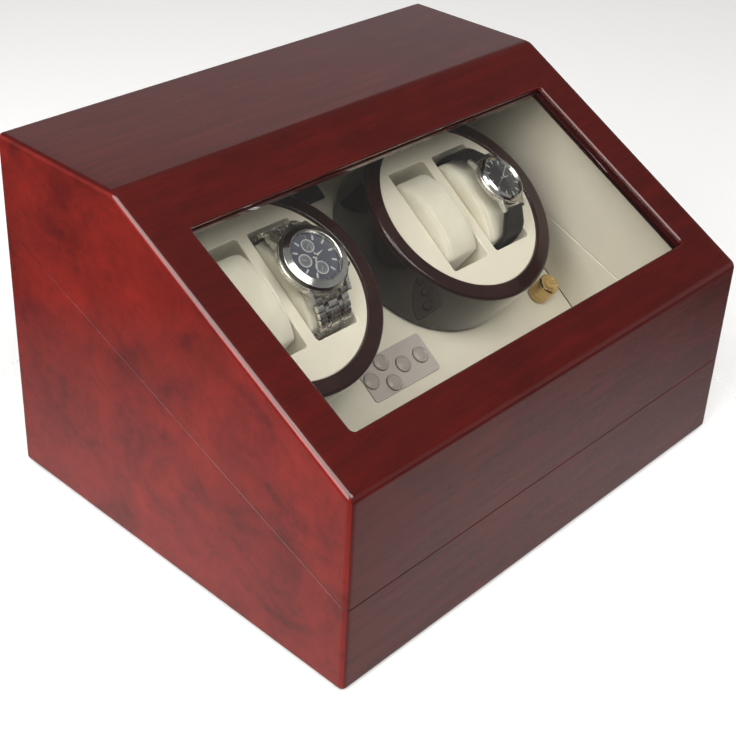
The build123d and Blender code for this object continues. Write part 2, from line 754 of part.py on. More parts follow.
def pocket_block(width, length, bottom, top, radius):
    """A rectangular block with rounded upright corners."""
    block = Pos(0, 0, (bottom + top) / 2) * Box(width, length, top - bottom)
    return fillet(block.edges().filter_by(Axis.Z), radius)


def face(side):
    """Ivory face plate with two trays that hold the pillows."""
    plate = rod(0, 0, FACE_TOP - FACE_THICKNESS, FACE_TOP, RIM_INNER - 0.1)
    for x in (-POCKET_X, POCKET_X):
        width = POCKET_WIDTH + 2 * TRAY_WALL
        length = POCKET_LENGTH + 2 * TRAY_WALL
        plate += Pos(x, 0, 0) * pocket_block(
            width, length, TRAY_FLOOR_TOP - TRAY_WALL, FACE_TOP - 1, POCKET_RADIUS + TRAY_WALL
        )
    for x in (-POCKET_X, POCKET_X):
        plate -= Pos(x, 0, 0) * pocket_block(
            POCKET_WIDTH, POCKET_LENGTH, TRAY_FLOOR_TOP, FACE_TOP + 1, POCKET_RADIUS
        )
    return DECK * Pos(side * TURNTABLE_X, 0, 0) * plate


# ---------------------------------------------------------------- pillows and watches
def pillow_outline(bottom, grow):
    """Side view of a pillow, crowned along the strap, grown outwards by `grow`."""
    end = PILLOW_LENGTH / 2
    low = bottom - grow
    arc = ThreePointArc(
        (-end - grow, PILLOW_SHOULDER), (0, PILLOW_TOP + grow), (end + grow, PILLOW_SHOULDER)
    )
    rest = Polyline(
        (end + grow, PILLOW_SHOULDER), (end + grow, low), (-end - grow, low), (-end - grow, PILLOW_SHOULDER)
    )
    return make_face(Wire([*arc.edges(), *rest.edges()]))


def pillow_block(bottom, grow, width):
    """The outline drawn out across the pocket."""
    outline = Plane.YZ.offset(-width / 2) * pillow_outline(bottom, grow)
    block = extrude(outline, width, dir=(1, 0, 0))
    return fillet(block.edges().filter_by(Axis.X), 4.0)


def pocket_place(side, pocket):
    """Middle of one pocket: side and pocket are -1 for left and 1 for right."""
    return DECK * Pos(side * TURNTABLE_X + pocket * POCKET_X, 0, 0)


def pillow(side, pocket, bottom):
    """Removable watch pillow."""
    return pocket_place(side, pocket) * pillow_block(bottom, 0.0, PILLOW_WIDTH)


def band(side, shift, width, thickness):
    """Watch band closed around the right-hand pillow, `shift` to the right of its middle."""
    outer = pillow_block(WORN_PILLOW_BOTTOM, STRAP_GAP + thickness, width)
    inner = pillow_block(WORN_PILLOW_BOTTOM, STRAP_GAP, width + 2)
    return pocket_place(side, 1) * Pos(shift, 0, 0) * (outer - inner)


def watch_place(side, spot, roll):
    """Where a watch's back sits on its pillow, leaning over by `roll` degrees."""
    return pocket_place(side, 1) * Pos(*spot) * Rot(0, roll, 0)


def watch_case(radius, height, lug_width, lug_reach):
    """Round case with a stepped bezel, four lugs and a crown; its back is at z = 0."""
    outline = Polyline(
        (0, 0),
        (radius - 3.0, 0),
        (radius - 0.6, 2.0),
        (radius, 3.0),
        (radius, height * 0.55),
        (radius - 0.8, height * 0.62),
        (radius - 0.8, height * 0.75),
        (radius - 3.0, height),
        (radius - 4.2, height),
        (radius - 4.6, height - 1.6),
        (0, height - 1.6),
        close=True,
    )
    case = revolve(Plane.XZ * make_face(outline), Axis.Z)
    for sx, sv in corner_places():
        lug = Pos(sx * (lug_width / 2 + 1.3), sv * lug_reach / 2, 2.6) * Box(2.4, lug_reach, 3.6)
        case += lug
    crown = Pos(radius + 1.0, 0, height * 0.35) * Rot(0, 90, 0) * Cylinder(2.6, 3.0)
    return case + crown


CHRONOGRAPH = {"radius": 22.0, "height": 12.0, "lug_width": 22.0, "lug_reach": 24.0}
CHRONOGRAPH_SPOT = (0, 3.0, PILLOW_TOP + 0.8)
DRESS_WATCH = {"radius": 17.8, "height": 9.0, "lug_width": 18.0, "lug_reach": 20.5}
DRESS_WATCH_SPOT = (3.4, -0.5, PILLOW_TOP + 4.4)
DRESS_WATCH_ROLL = 10.0
DRESS_STRAP_SHIFT = 2.4


def case_room(side, spot, roll, size):
    """Space that a watch's band leaves for its case."""
    case = Pos(0, 0, 5) * Cylinder(size["radius"] + 0.3, 20)
    lugs = Pos(0, 0, 5) * Box(size["lug_width"] + 5.6, 2 * size["lug_reach"] + 0.6, 14)
    return watch_place(side, spot, roll) * (case + lugs)


def chronograph_case():
    """Steel chronograph: case with crown and two pushers."""
    case = watch_case(**CHRONOGRAPH)
    for v in (-9, 9):
        pusher = Pos(CHRONOGRAPH["radius"] - 0.6, v, 4.2) * Rot(0, 90, 0) * Cylinder(1.5, 6.0)
        case += pusher
    return watch_place(-1, CHRONOGRAPH_SPOT, 0) * case


def chronograph_bracelet():
    """Linked steel bracelet around the pillow."""
    return band(-1, 0, 26.0, 3.0)


def dress_watch_case():
    """Plain steel watch."""
    return watch_place(1, DRESS_WATCH_SPOT, DRESS_WATCH_ROLL) * watch_case(**DRESS_WATCH)


def dress_watch_strap():
    """Leather strap around the pillow."""
    return band(1, DRESS_STRAP_SHIFT, 22.0, 2.6)


# ---------------------------------------------------------------- power socket
def dc_jack():
    """Low-voltage socket in the back board, with its nut inside."""
    back = DEPTH / 2
    turn = Rot(90, 0, 0)
    barrel = Pos(SOCKET_X, back - 9, SOCKET_Z) * turn * Cylinder(SOCKET_RADIUS, 18)
    flange = Pos(SOCKET_X, back + 0.6, SOCKET_Z) * turn * Cylinder(SOCKET_RADIUS + 2, 1.2)
    nut_outline = Plane.XZ.offset(-(back - WALL)) * Pos(SOCKET_X, SOCKET_Z) * RegularPolygon(8.0, 6)
    nut = extrude(nut_outline, 3.0, dir=(0, -1, 0))
    hole_length = SOCKET_BORE_DEPTH + 2
    hole = Pos(SOCKET_X, back + 1.2 - SOCKET_BORE_DEPTH + hole_length / 2, SOCKET_Z)
    return barrel + flange + nut - hole * turn * Cylinder(SOCKET_BORE, hole_length)


def cut_for_socket(board):
    """Hole for the socket's barrel."""
    turn = Rot(90, 0, 0)
    return board - Pos(SOCKET_X, DEPTH / 2, SOCKET_Z) * turn * Cylinder(SOCKET_RADIUS, 3 * WALL)


# ---------------------------------------------------------------- build
def build_cabinet():
    """Write the boards, linings and hinges."""
    block = cabinet_solid()
    upper = above_seam(-WIDTH, WIDTH)
    lower = below_seam(-WIDTH, WIDTH)
    left, right = side_boards(block)
    front = front_board(block)
    back = back_board(block)
    write("base_side_left", left & lower)
    write("base_side_right", right & lower)
    write("base_front", front & lower)
    write("base_back", cut_for_socket(cut_for_hinges(back & lower, False)))
    bottom = bottom_board()
    for place in bottom_screw_places():
        bottom -= place * screw_hole()
    write("base_bottom", bottom)
    write("corner_blocks", corner_blocks())
    base_screws = bottom_screw_places() + hinge_screw_places(False)
    write("base_screws", group([place * screw() for place in base_screws]))
    write("feet", feet())
    write("lid_side_left", left & upper)
    write("lid_side_right", right & upper)
    write("lid_front", front & upper)
    write("lid_back", cut_for_hinges(back & upper, True))
    write("lid_top", top_board(block))
    write("window_frame", window_frame(block))
    write("window_glass", window_glass())
    write("glazing_beads", glazing_beads())
    write("lid_screws", group([place * screw() for place in hinge_screw_places(True)]))
    for side, name in ((-1, "left"), (1, "right")):
        write(f"base_lining_{name}", base_lining(side))
        write(f"lid_lining_{name}", lid_side_lining(side))
    write("lid_lining_back", lid_back_lining())
    write("hinge_leaves_base", hinge_leaves(False))
    write("hinge_leaves_lid", hinge_leaves(True))
    write("hinge_pins", hinge_pins())
    write("dc_jack", dc_jack())


def build_deck():
    """Write the deck, its controls and the drive."""
    write("deck_panel", deck_panel())
    write("deck_rails", deck_rails())
    write("keypad_plate", keypad_plate())
    for name in KEY_PLACES:
        write(name, key(name))
    write("control_board", control_board())
    write("display_window", display_window())
    write("mechanism_plate", mechanism_plate())
    write("spindle_bushes", spindle_bushes())
    for side, name in ((-1, "left"), (1, "right")):
        write(f"thumbscrew_{name}", thumbscrew(side))
        write(f"turntable_gear_{name}", turntable_gear(side))
        write(f"motor_pinion_{name}", motor_pinion(side))
        write(f"gear_motor_{name}", gear_motor(side))


def build_turntables():
    """Write the drums, pillows and watches."""
    for side, name in ((-1, "left"), (1, "right")):
        write(f"drum_{name}", drum(side))
        write(f"rim_{name}", rim(side))
        write(f"face_{name}", face(side))
        write(f"pillow_{name}_empty", pillow(side, -1, EMPTY_PILLOW_BOTTOM))
        write(f"pillow_{name}_worn", pillow(side, 1, WORN_PILLOW_BOTTOM))
    chronograph_space = case_room(-1, CHRONOGRAPH_SPOT, 0, CHRONOGRAPH)
    dress_space = case_room(1, DRESS_WATCH_SPOT, DRESS_WATCH_ROLL, DRESS_WATCH)
    write("chronograph_case", chronograph_case())
    write("chronograph_bracelet", chronograph_bracelet() - chronograph_space)
    write("dress_watch_case", dress_watch_case())
    write("dress_watch_strap", dress_watch_strap() - dress_space)


os.makedirs("parts", exist_ok=True)
build_cabinet()
build_deck()
build_turntables()
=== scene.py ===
"""Watch winder box: detailed meshes, finishes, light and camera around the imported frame.

Everything is in metres in the frame's own axes: +X is right, +Y is back and +Z is up.
Places come from the frame. The deck's own axes are x across, v up its slope and n out of it,
with the origin on the deck's surface, midway between the two turntables.
"""

import json
from math import cos, pi, radians, sin, tan

import bmesh
import bpy
from mathutils import Matrix, Vector
from mathutils.bvhtree import BVHTree


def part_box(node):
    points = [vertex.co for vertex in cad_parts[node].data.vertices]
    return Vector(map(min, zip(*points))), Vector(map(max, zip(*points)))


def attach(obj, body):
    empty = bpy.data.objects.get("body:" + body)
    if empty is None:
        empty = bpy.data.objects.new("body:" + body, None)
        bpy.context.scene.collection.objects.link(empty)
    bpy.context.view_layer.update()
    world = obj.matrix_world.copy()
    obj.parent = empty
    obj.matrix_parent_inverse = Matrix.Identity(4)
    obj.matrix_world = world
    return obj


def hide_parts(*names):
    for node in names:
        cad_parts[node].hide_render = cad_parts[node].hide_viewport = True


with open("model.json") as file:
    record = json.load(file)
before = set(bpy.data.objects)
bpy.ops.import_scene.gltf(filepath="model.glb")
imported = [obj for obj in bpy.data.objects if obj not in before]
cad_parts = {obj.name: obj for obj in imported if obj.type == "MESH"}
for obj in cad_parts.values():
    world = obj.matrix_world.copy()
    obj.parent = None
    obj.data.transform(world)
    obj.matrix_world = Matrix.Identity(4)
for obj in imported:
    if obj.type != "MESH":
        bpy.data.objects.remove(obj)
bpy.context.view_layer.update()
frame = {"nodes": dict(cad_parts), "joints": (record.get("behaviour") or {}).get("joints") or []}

MM = 0.001

nodes = frame["nodes"]
joints = {joint["name"]: joint for joint in frame["joints"]}
SIDES = ((-1, "left"), (1, "right"))

# The deck's frame, from the two turntables' axes
LEFT_PIVOT = Vector(joints["turntable_left_spin"]["pos_m"])
RIGHT_PIVOT = Vector(joints["turntable_right_spin"]["pos_m"])
DECK_NORMAL = Vector(joints["turntable_left_spin"]["axis"]).normalized()
ACROSS = Vector((1, 0, 0))
UP_SLOPE = DECK_NORMAL.cross(ACROSS)
TURNTABLE_X = (RIGHT_PIVOT.x - LEFT_PIVOT.x) / 2


def axes(x_axis, y_axis, z_axis, origin):
    """The matrix of a local frame."""
    rows = [(x_axis[i], y_axis[i], z_axis[i], origin[i]) for i in range(3)]
    return Matrix([*rows, (0, 0, 0, 1)])


DECK = axes(ACROSS, UP_SLOPE, DECK_NORMAL, (LEFT_PIVOT + RIGHT_PIVOT) / 2)
# turns a prism drawn along Z so that it runs along X, with its outline in Y and Z
SIDEWAYS = axes((0, 1, 0), (0, 0, 1), (1, 0, 0), (0, 0, 0))


def shift(x, y, z):
    """A move, as a matrix."""
    return Matrix.Translation((x, y, z))


def span(node, place=DECK):
    """Lowest and highest corner of a CAD node in a local frame."""
    inverse = place.inverted()
    points = [inverse @ vertex.co for vertex in nodes[node].data.vertices]
    low = Vector([min(point[i] for point in points) for i in range(3)])
    high = Vector([max(point[i] for point in points) for i in range(3)])
    return low, high


def flat_face(node, toward):
    """(point, normal) of the largest flat face of a CAD node that looks about that way."""
    toward = Vector(toward).normalized()
    facing = [face for face in nodes[node].data.polygons if face.normal.dot(toward) > 0.9]
    best = max(facing, key=lambda face: face.area)
    return best.center.copy(), best.normal.copy()


# ---------------------------------------------------------------- mesh tools
def rounded(points, radius, steps=5, closed=False):
    """A flat polyline with its corners rounded; radius is one number or one for each point."""
    count = len(points)
    radii = radius if isinstance(radius, (list, tuple)) else [radius] * count
    result = []
    for i, point in enumerate(points):
        here = Vector(point)
        is_end = not closed and i in (0, count - 1)
        if is_end or radii[i] <= 0:
            result.append(tuple(here))
            continue
        before = (Vector(points[i - 1]) - here).normalized()
        after = (Vector(points[(i + 1) % count]) - here).normalized()
        half = before.angle(after) / 2
        reach = radii[i] / tan(half)
        centre = here + (before + after).normalized() * (radii[i] / sin(half))
        start = here + before * reach - centre
        end = here + after * reach - centre
        turn = pi - 2 * half
        for step in range(steps + 1):
            t = step / steps
            mixed = start * sin((1 - t) * turn) + end * sin(t * turn)
            result.append(tuple(centre + mixed / sin(turn)))
    return result


def bridge(bm, low, high):
    """Faces between two rings of vertices, either of which may be a single point."""
    count = max(len(low), len(high))
    for i in range(count):
        j = (i + 1) % count
        if len(low) == 1:
            bm.faces.new((low[0], high[j], high[i]))
        elif len(high) == 1:
            bm.faces.new((low[i], low[j], high[0]))
        else:
            bm.faces.new((low[i], low[j], high[j], high[i]))


def lathe(profile, segments=128, closed=False, ripple=None):
    """Surface of revolution about Z of (radius, height) points; ripple alters a radius by its angle."""
    bm = bmesh.new()
    rings = []
    for radius, height in profile:
        if radius < 1e-7:
            rings.append([bm.verts.new((0, 0, height))])
            continue
        ring = []
        for i in range(segments):
            angle = 2 * pi * i / segments
            reach = radius if ripple is None else ripple(radius, angle)
            ring.append(bm.verts.new((reach * cos(angle), reach * sin(angle), height)))
        rings.append(ring)
    following = rings[1:] + rings[:1] if closed else rings[1:]
    for low, high in zip(rings, following):
        bridge(bm, low, high)
    return bm


def prism(outline, low, high):
    """A flat outline drawn out along Z."""
    bm = bmesh.new()
    rings = [[bm.verts.new((x, y, z)) for x, y in outline] for z in (low, high)]
    bm.faces.new(list(reversed(rings[0])))
    bm.faces.new(rings[1])
    bridge(bm, *rings)
    return bm


def block(low, high):
    """A box between two corners."""
    outline = [(low[0], low[1]), (high[0], low[1]), (high[0], high[1]), (low[0], high[1])]
    return prism(outline, low[2], high[2])


def tube(path, radius, sides=10, closed=False):
    """A round cord along a list of points."""
    bm = bmesh.new()
    rings = []
    count = len(path)
    side = None
    for i, point in enumerate(path):
        before = path[i - 1] if closed or i > 0 else path[i]
        after = path[(i + 1) % count] if closed or i < count - 1 else path[i]
        along = (Vector(after) - Vector(before)).normalized()
        if side is None:
            side = along.orthogonal().normalized()
        side = (side - along * side.dot(along)).normalized()
        other = along.cross(side)
        ring = []
        for k in range(sides):
            angle = 2 * pi * k / sides
            ring.append(bm.verts.new(Vector(point) + (side * cos(angle) + other * sin(angle)) * radius))
        rings.append(ring)
    following = rings[1:] + rings[:1] if closed else rings[1:]
    for low, high in zip(rings, following):
        bridge(bm, low, high)
    if not closed:
        bm.faces.new(rings[0])
        bm.faces.new(rings[-1])
    return bm


def mesh_of(bm, name):
    """A mesh made from a bmesh, which is used up."""
    mesh = bpy.data.meshes.new(name)
    bm.to_mesh(mesh)
    bm.free()
    return mesh


def linked(name, data):
    """A new object in the scene."""
    made = bpy.data.objects.new(name, data)
    bpy.context.scene.collection.objects.link(made)
    return made


def join(parts):
    """One bmesh from several (bmesh, place) pairs, or plain bmeshes; each keeps its material numbers."""
    whole = bmesh.new()
    for part in parts:
        bm, place = part if isinstance(part, tuple) else (part, Matrix.Identity(4))
        bm.transform(place)
        passing = mesh_of(bm, "passing")
        whole.from_mesh(passing)
        bpy.data.meshes.remove(passing)
    return whole


def paint(bm, number):
    """Give every face one material number."""
    for face in bm.faces:
        face.material_index = number
    return bm


def soften(bm, width, segments=3, angle=30.0, where=None, clamp=True):
    """Round the edges sharper than an angle, or those of them that pass a test."""
    bmesh.ops.recalc_face_normals(bm, faces=bm.faces)
    sharp = []
    for edge in bm.edges:
        if edge.is_manifold and edge.calc_face_angle(0) > radians(angle):
            if where is None or where(edge):
                sharp.append(edge)
    bmesh.ops.bevel(
        bm, geom=sharp, offset=width, offset_type="OFFSET", segments=segments,
        profile=0.5, affect="EDGES", clamp_overlap=clamp,
    )
    return bm


def trim(bm, point, normal):
    """Cut away what lies on the normal's side of a plane, and close the cut."""
    geometry = bm.verts[:] + bm.edges[:] + bm.faces[:]
    cut = bmesh.ops.bisect_plane(
        bm, geom=geometry, plane_co=point, plane_no=normal, clear_outer=True, dist=1e-7
    )
    rim = [item for item in cut["geom_cut"] if isinstance(item, bmesh.types.BMEdge)]
    bmesh.ops.contextual_create(bm, geom=rim)
    return bm


def loose(bm):
    """An object for a moment's work, made from a bmesh."""
    bmesh.ops.recalc_face_normals(bm, faces=bm.faces)
    return linked("loose", mesh_of(bm, "loose"))


def settled(made):
    """A bmesh of an object with its modifiers applied; the object is removed."""
    graph = bpy.context.evaluated_depsgraph_get()
    mesh = bpy.data.meshes.new_from_object(made.evaluated_get(graph))
    bm = bmesh.new()
    bm.from_mesh(mesh)
    bpy.data.objects.remove(made)
    bpy.data.meshes.remove(mesh)
    return bm


def cut_away(bm, cutter):
    """The bmesh less the cutter."""
    body = loose(bm)
    tool = loose(cutter)
    change = body.modifiers.new("cut", "BOOLEAN")
    change.object = tool
    change.operation = "DIFFERENCE"
    change.solver = "EXACT"
    result = settled(body)
    bpy.data.objects.remove(tool)
    return result


def cad_copy(*names):
    """The welded meshes of CAD nodes, with their flat faces whole."""
    bm = bmesh.new()
    for name in names:
        bm.from_mesh(nodes[name].data)
    bmesh.ops.remove_doubles(bm, verts=bm.verts, dist=2e-6)
    bmesh.ops.dissolve_limit(bm, angle_limit=radians(0.3), verts=bm.verts, edges=bm.edges)
    for face in bm.faces:
        face.material_index = 0
    return bm


def piece(name, bm, finish, body, stands_for, place=None, crease=35.0):
    """A finished piece from a bmesh: it rides on a body and stands for CAD nodes."""
    stands_for = [stands_for] if isinstance(stands_for, str) else list(stands_for)
    if place is not None:
        bm.transform(place)
    bmesh.ops.recalc_face_normals(bm, faces=bm.faces)
    mesh = mesh_of(bm, name)
    mesh.shade_smooth()
    mesh.set_sharp_from_angle(angle=radians(crease))
    for material in finish if isinstance(finish, (list, tuple)) else [finish]:
        mesh.materials.append(material)
    made = linked(name, mesh)
    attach(made, body)
    made.modifiers.new("even_normals", "WEIGHTED_NORMAL").keep_sharp = True
    if stands_for:
        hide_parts(*stands_for)
    return made


# ---------------------------------------------------------------- material tools
def material(name, plain):
    """A new material, its node tree and its shader, with the shader's plain values set."""
    made = bpy.data.materials.new(name)
    made.use_nodes = True
    shader = made.node_tree.nodes["Principled BSDF"]
    for socket, value in plain.items():
        shader.inputs[socket].default_value = value
    return made, made.node_tree, shader


def add(tree, kind, inputs=None, **settings):
    """A new shader node; an input is a plain value or another node's output."""
    made = tree.nodes.new("ShaderNode" + kind)
    for key, value in settings.items():
        setattr(made, key, value)
    for key, value in (inputs or {}).items():
        if isinstance(value, bpy.types.NodeSocket):
            tree.links.new(value, made.inputs[key])
        else:
            made.inputs[key].default_value = value
    return made


def stretched(tree, scale, rotation=(0, 0, 0)):
    """Object coordinates in millimetres, stretched by a scale on each axis."""
    source = add(tree, "TexCoord").outputs["Object"]
    size = [value / MM for value in scale]
    return add(tree, "Mapping", {"Vector": source, "Scale": size, "Rotation": rotation}).outputs[0]


def noise(tree, vector, scale, detail=4.0, roughness=0.55, distortion=0.0):
    """Fractal noise from 0 to 1."""
    values = {"Vector": vector, "Scale": scale, "Detail": detail}
    values.update({"Roughness": roughness, "Distortion": distortion})
    return add(tree, "TexNoise", values).outputs[0]


def ramp(tree, factor, stops):
    """A colour, or a grey for plain numbers, looked up from a factor."""
    made = add(tree, "ValToRGB", {"Fac": factor})
    elements = made.color_ramp.elements
    while len(elements) < len(stops):
        elements.new(0.5)
    for element, (place, colour) in zip(elements, stops):
        element.position = place
        level = (colour,) * 3 if isinstance(colour, (int, float)) else colour
        element.color = (*level, 1)
    return made.outputs[0]


def mixed(tree, factor, first, second, blend="MIX"):
    """Two colours mixed."""
    made = add(tree, "Mix", data_type="RGBA", blend_type=blend)
    for key, value in ((0, factor), (6, first), (7, second)):
        if isinstance(value, bpy.types.NodeSocket):
            tree.links.new(value, made.inputs[key])
        elif key == 0:
            made.inputs[key].default_value = value
        else:
            made.inputs[key].default_value = (*value, 1)
    return made.outputs[2]


def bump(tree, shader, height, distance, strength=1.0, socket="Normal"):
    """Relief from a height socket, in metres."""
    values = {"Height": height, "Distance": distance, "Strength": strength}
    tree.links.new(add(tree, "Bump", values).outputs[0], shader.inputs[socket])


def link(tree, output, shader, socket):
    """Feed a shader's input."""
    tree.links.new(output, shader.inputs[socket])


def vary(tree, factor, stops, shader, socket="Roughness"):
    """Feed a shader's input with a ramp looked up from a factor."""
    link(tree, ramp(tree, factor, stops), shader, socket)


def fade(tree, factor, low, high, shader, socket="Roughness"):
    """Feed a shader's input with a drift from a low value to a high one."""
    vary(tree, factor, [(0.3, low), (0.7, high)], shader, socket)


# ---------------------------------------------------------------- finishes
# (place on the ramp, share of the wood's own colour) of its streaks, and the cloudy stain over them
FIGURE = ((0.3, 0.8), (0.52, 1.0), (0.72, 1.2))
STAIN = ((0.3, (0.5, 0.42, 0.42)), (0.48, (0.95, 0.9, 0.9)), (0.65, (1.15, 1.1, 1.05)))


def cherry(name, grain, mottle, depth):
    """Cherry veneer, `depth` in colour, under polished lacquer; grain is its scale on each axis."""
    plain = {
        "Roughness": 0.5,
        "Specular IOR Level": 0.04,
        "Coat Weight": 1.0,
        "Coat Roughness": 0.02,
        "Coat IOR": 1.46,
    }
    made, tree, shader = material(name, plain)
    streaks = noise(tree, stretched(tree, grain), 1.0, 6.0, 0.6, 0.4)
    fine = noise(tree, stretched(tree, [value * 5 for value in grain]), 1.0, 3.0, 0.6)
    clouds = noise(tree, stretched(tree, (0.016, 0.02, 0.024)), 1.0, 5.0, 0.62, 0.8)
    figure = ramp(tree, streaks, [(place, [level * share for level in depth]) for place, share in FIGURE])
    colour = mixed(tree, mottle, figure, ramp(tree, clouds, STAIN), "MULTIPLY")
    pores = ramp(tree, fine, [(0.36, 0.72), (0.5, 1.0)])
    link(tree, mixed(tree, 0.6, colour, pores, "MULTIPLY"), shader, "Base Color")
    fade(tree, streaks, 0.5, 0.36, shader)
    peel = noise(tree, stretched(tree, (0.12, 0.12, 0.12)), 1.0, 2.0, 0.4)
    bump(tree, shader, peel, 0.00004, 0.25, "Coat Normal")
    return made


def plain_wood():
    """Bare sanded board."""
    made, tree, shader = material("plain_wood", {"Specular IOR Level": 0.3})
    streaks = noise(tree, stretched(tree, (0.012, 0.35, 0.35)), 1.0, 6.0, 0.6, 0.6)
    tones = [(0.3, (0.34, 0.2, 0.1)), (0.55, (0.55, 0.37, 0.21)), (0.75, (0.66, 0.48, 0.3))]
    vary(tree, streaks, tones, shader, "Base Color")
    fade(tree, streaks, 0.7, 0.55, shader)
    bump(tree, shader, streaks, 0.0002, 0.5)
    return made


def leatherette(name, colour, shade):
    """Smooth ivory leatherette with a fine pebbled grain."""
    plain = {"Specular IOR Level": 0.35, "Sheen Weight": 0.08, "Sheen Roughness": 0.5}
    made, tree, shader = material(name, plain)
    cells = add(tree, "TexVoronoi", {"Vector": stretched(tree, (1, 1, 1)), "Scale": 3.2, "Randomness": 0.9})
    soft = noise(tree, stretched(tree, (0.05, 0.05, 0.05)), 1.0, 4.0)
    tone = ramp(tree, soft, [(0.3, shade), (0.65, colour)])
    creases = ramp(tree, cells.outputs["Distance"], [(0.0, 1.0), (0.75, 0.97)])
    link(tree, mixed(tree, 0.7, tone, creases, "MULTIPLY"), shader, "Base Color")
    fade(tree, soft, 0.52, 0.42, shader)
    bump(tree, shader, cells.outputs["Distance"], 0.00002, 0.2)
    return made


def velvet():
    """Soft cream cloth with a short nap."""
    plain = {"Specular IOR Level": 0.15, "Sheen Weight": 0.45, "Sheen Roughness": 0.45}
    made, tree, shader = material("cream_velvet", plain)
    nap = noise(tree, stretched(tree, (1, 1, 1)), 2.6, 3.0, 0.7)
    drift = noise(tree, stretched(tree, (0.07, 0.07, 0.07)), 1.0, 3.0)
    tone = ramp(tree, drift, [(0.3, (0.7, 0.67, 0.53)), (0.65, (0.77, 0.74, 0.61))])
    pile = ramp(tree, nap, [(0.3, 0.82), (0.65, 1.05)])
    link(tree, mixed(tree, 0.5, tone, pile, "MULTIPLY"), shader, "Base Color")
    fade(tree, nap, 0.95, 0.8, shader)
    bump(tree, shader, nap, 0.00012, 0.5)
    return made


def piano_lacquer(name, dark, light, scale=0.03):
    """Deep polished lacquer with a faint drift of colour under a clear coat."""
    plain = {"Specular IOR Level": 0.06, "Coat Weight": 1.0, "Coat Roughness": 0.03, "Coat IOR": 1.4}
    made, tree, shader = material(name, plain)
    drift = noise(tree, stretched(tree, (scale, scale, scale * 2)), 1.0, 5.0)
    fade(tree, drift, dark, light, shader, "Base Color")
    fade(tree, drift, 0.22, 0.12, shader)
    return made


def metal(name, dark, light, roughness, grain, relief=0.00002):
    """Metal with brushing or turning marks; grain is the marks' scale on each axis."""
    made, tree, shader = material(name, {"Metallic": 1.0})
    marks = noise(tree, stretched(tree, grain), 1.0, 4.0, 0.6)
    fade(tree, marks, dark, light, shader, "Base Color")
    low, high = roughness
    fade(tree, marks, high, low, shader)
    bump(tree, shader, marks, relief, 0.4)
    return made


def moulded(name, dark, light, roughness, grain=1.5, relief=0.00004):
    """Moulded plastic or rubber with a fine texture."""
    made, tree, shader = material(name, {"Specular IOR Level": 0.4})
    texture = noise(tree, stretched(tree, (1, 1, 1)), grain, 3.0)
    drift = noise(tree, stretched(tree, (0.06, 0.06, 0.06)), 1.0, 3.0)
    fade(tree, drift, dark, light, shader, "Base Color")
    low, high = roughness
    fade(tree, texture, high, low, shader)
    bump(tree, shader, texture, relief, 0.4)
    return made


def clear_glass():
    """Thin clear pane: what is behind shows unbent, with the reflection that glass has."""
    made = bpy.data.materials.new("clear_glass")
    made.use_nodes = True
    tree = made.node_tree
    tree.nodes.clear()
    output = add(tree, "OutputMaterial")
    through = add(tree, "BsdfTransparent", {"Color": (0.985, 0.985, 0.98, 1)})
    smears = noise(tree, stretched(tree, (0.03, 0.03, 0.03)), 1.0, 4.0)
    gloss = add(tree, "BsdfGlossy", {"Roughness": ramp(tree, smears, [(0.3, 0.0), (0.8, 0.03)])})
    facing = add(tree, "LayerWeight", {"Blend": 0.5}).outputs["Facing"]
    share = ramp(tree, facing, [(0.0, 0.04), (0.55, 0.06), (0.8, 0.2), (1.0, 0.9)])
    blend = add(tree, "MixShader", {"Fac": share, 1: through.outputs[0], 2: gloss.outputs[0]})
    tree.links.new(blend.outputs[0], output.inputs["Surface"])
    return made


CHERRY_ACROSS = cherry("cherry_across", (0.012, 0.16, 0.16), 0.4, (0.06, 0.0034, 0.0021))
# painted light: the side boards take a copy of the same cherry painted about two and a half times lighter,
# which stands for the key lamp falling on the sides
CHERRY_SIDE_PAINTED_LIGHT = cherry("cherry_side", (0.05, 0.03, 0.035), 0.85, (0.155, 0.0075, 0.0042))
PLAIN_WOOD = plain_wood()
IVORY = leatherette("ivory_leatherette", (0.75, 0.71, 0.585), (0.71, 0.67, 0.55))
VELVET = velvet()
ESPRESSO = piano_lacquer("espresso_lacquer", (0.012, 0.008, 0.006), (0.022, 0.014, 0.009))
RIM = piano_lacquer("rim_lacquer", (0.014, 0.004, 0.003), (0.03, 0.008, 0.006))
GLASS = clear_glass()
BRASS = metal("turned_brass", (0.5, 0.33, 0.13), (0.72, 0.52, 0.24), (0.16, 0.3), (0.3, 0.3, 2.5))
ZINC = metal("zinc_plate", (0.42, 0.43, 0.45), (0.62, 0.63, 0.64), (0.25, 0.45), (0.4, 0.4, 0.4))
STEEL = metal("watch_steel", (0.6, 0.59, 0.56), (0.8, 0.79, 0.76), (0.2, 0.34), (2.5, 0.25, 0.6))
POLISHED = metal("polished_steel", (0.5, 0.5, 0.48), (0.6, 0.6, 0.58), (0.12, 0.2), (0.3, 0.3, 0.3), 0.000005)
MOTOR_STEEL = metal("motor_can", (0.34, 0.34, 0.34), (0.5, 0.5, 0.5), (0.3, 0.45), (1.5, 1.5, 0.1))
NYLON = moulded("white_nylon", (0.68, 0.68, 0.62), (0.78, 0.78, 0.72), (0.35, 0.5))
RUBBER = moulded("black_rubber", (0.02, 0.02, 0.02), (0.035, 0.035, 0.033), (0.7, 0.9))
KEYPAD = moulded("keypad_grey", (0.46, 0.415, 0.38), (0.5, 0.455, 0.415), (0.38, 0.5), 2.2)
KEY = moulded("key_silver", (0.36, 0.33, 0.295), (0.42, 0.385, 0.345), (0.2, 0.3), 2.5, 0.00002)
BOARD_GREEN = moulded("circuit_board", (0.02, 0.12, 0.05), (0.04, 0.2, 0.08), (0.3, 0.45), 0.8)
SMOKED = piano_lacquer("smoked_acrylic", (0.012, 0.009, 0.008), (0.02, 0.014, 0.012))
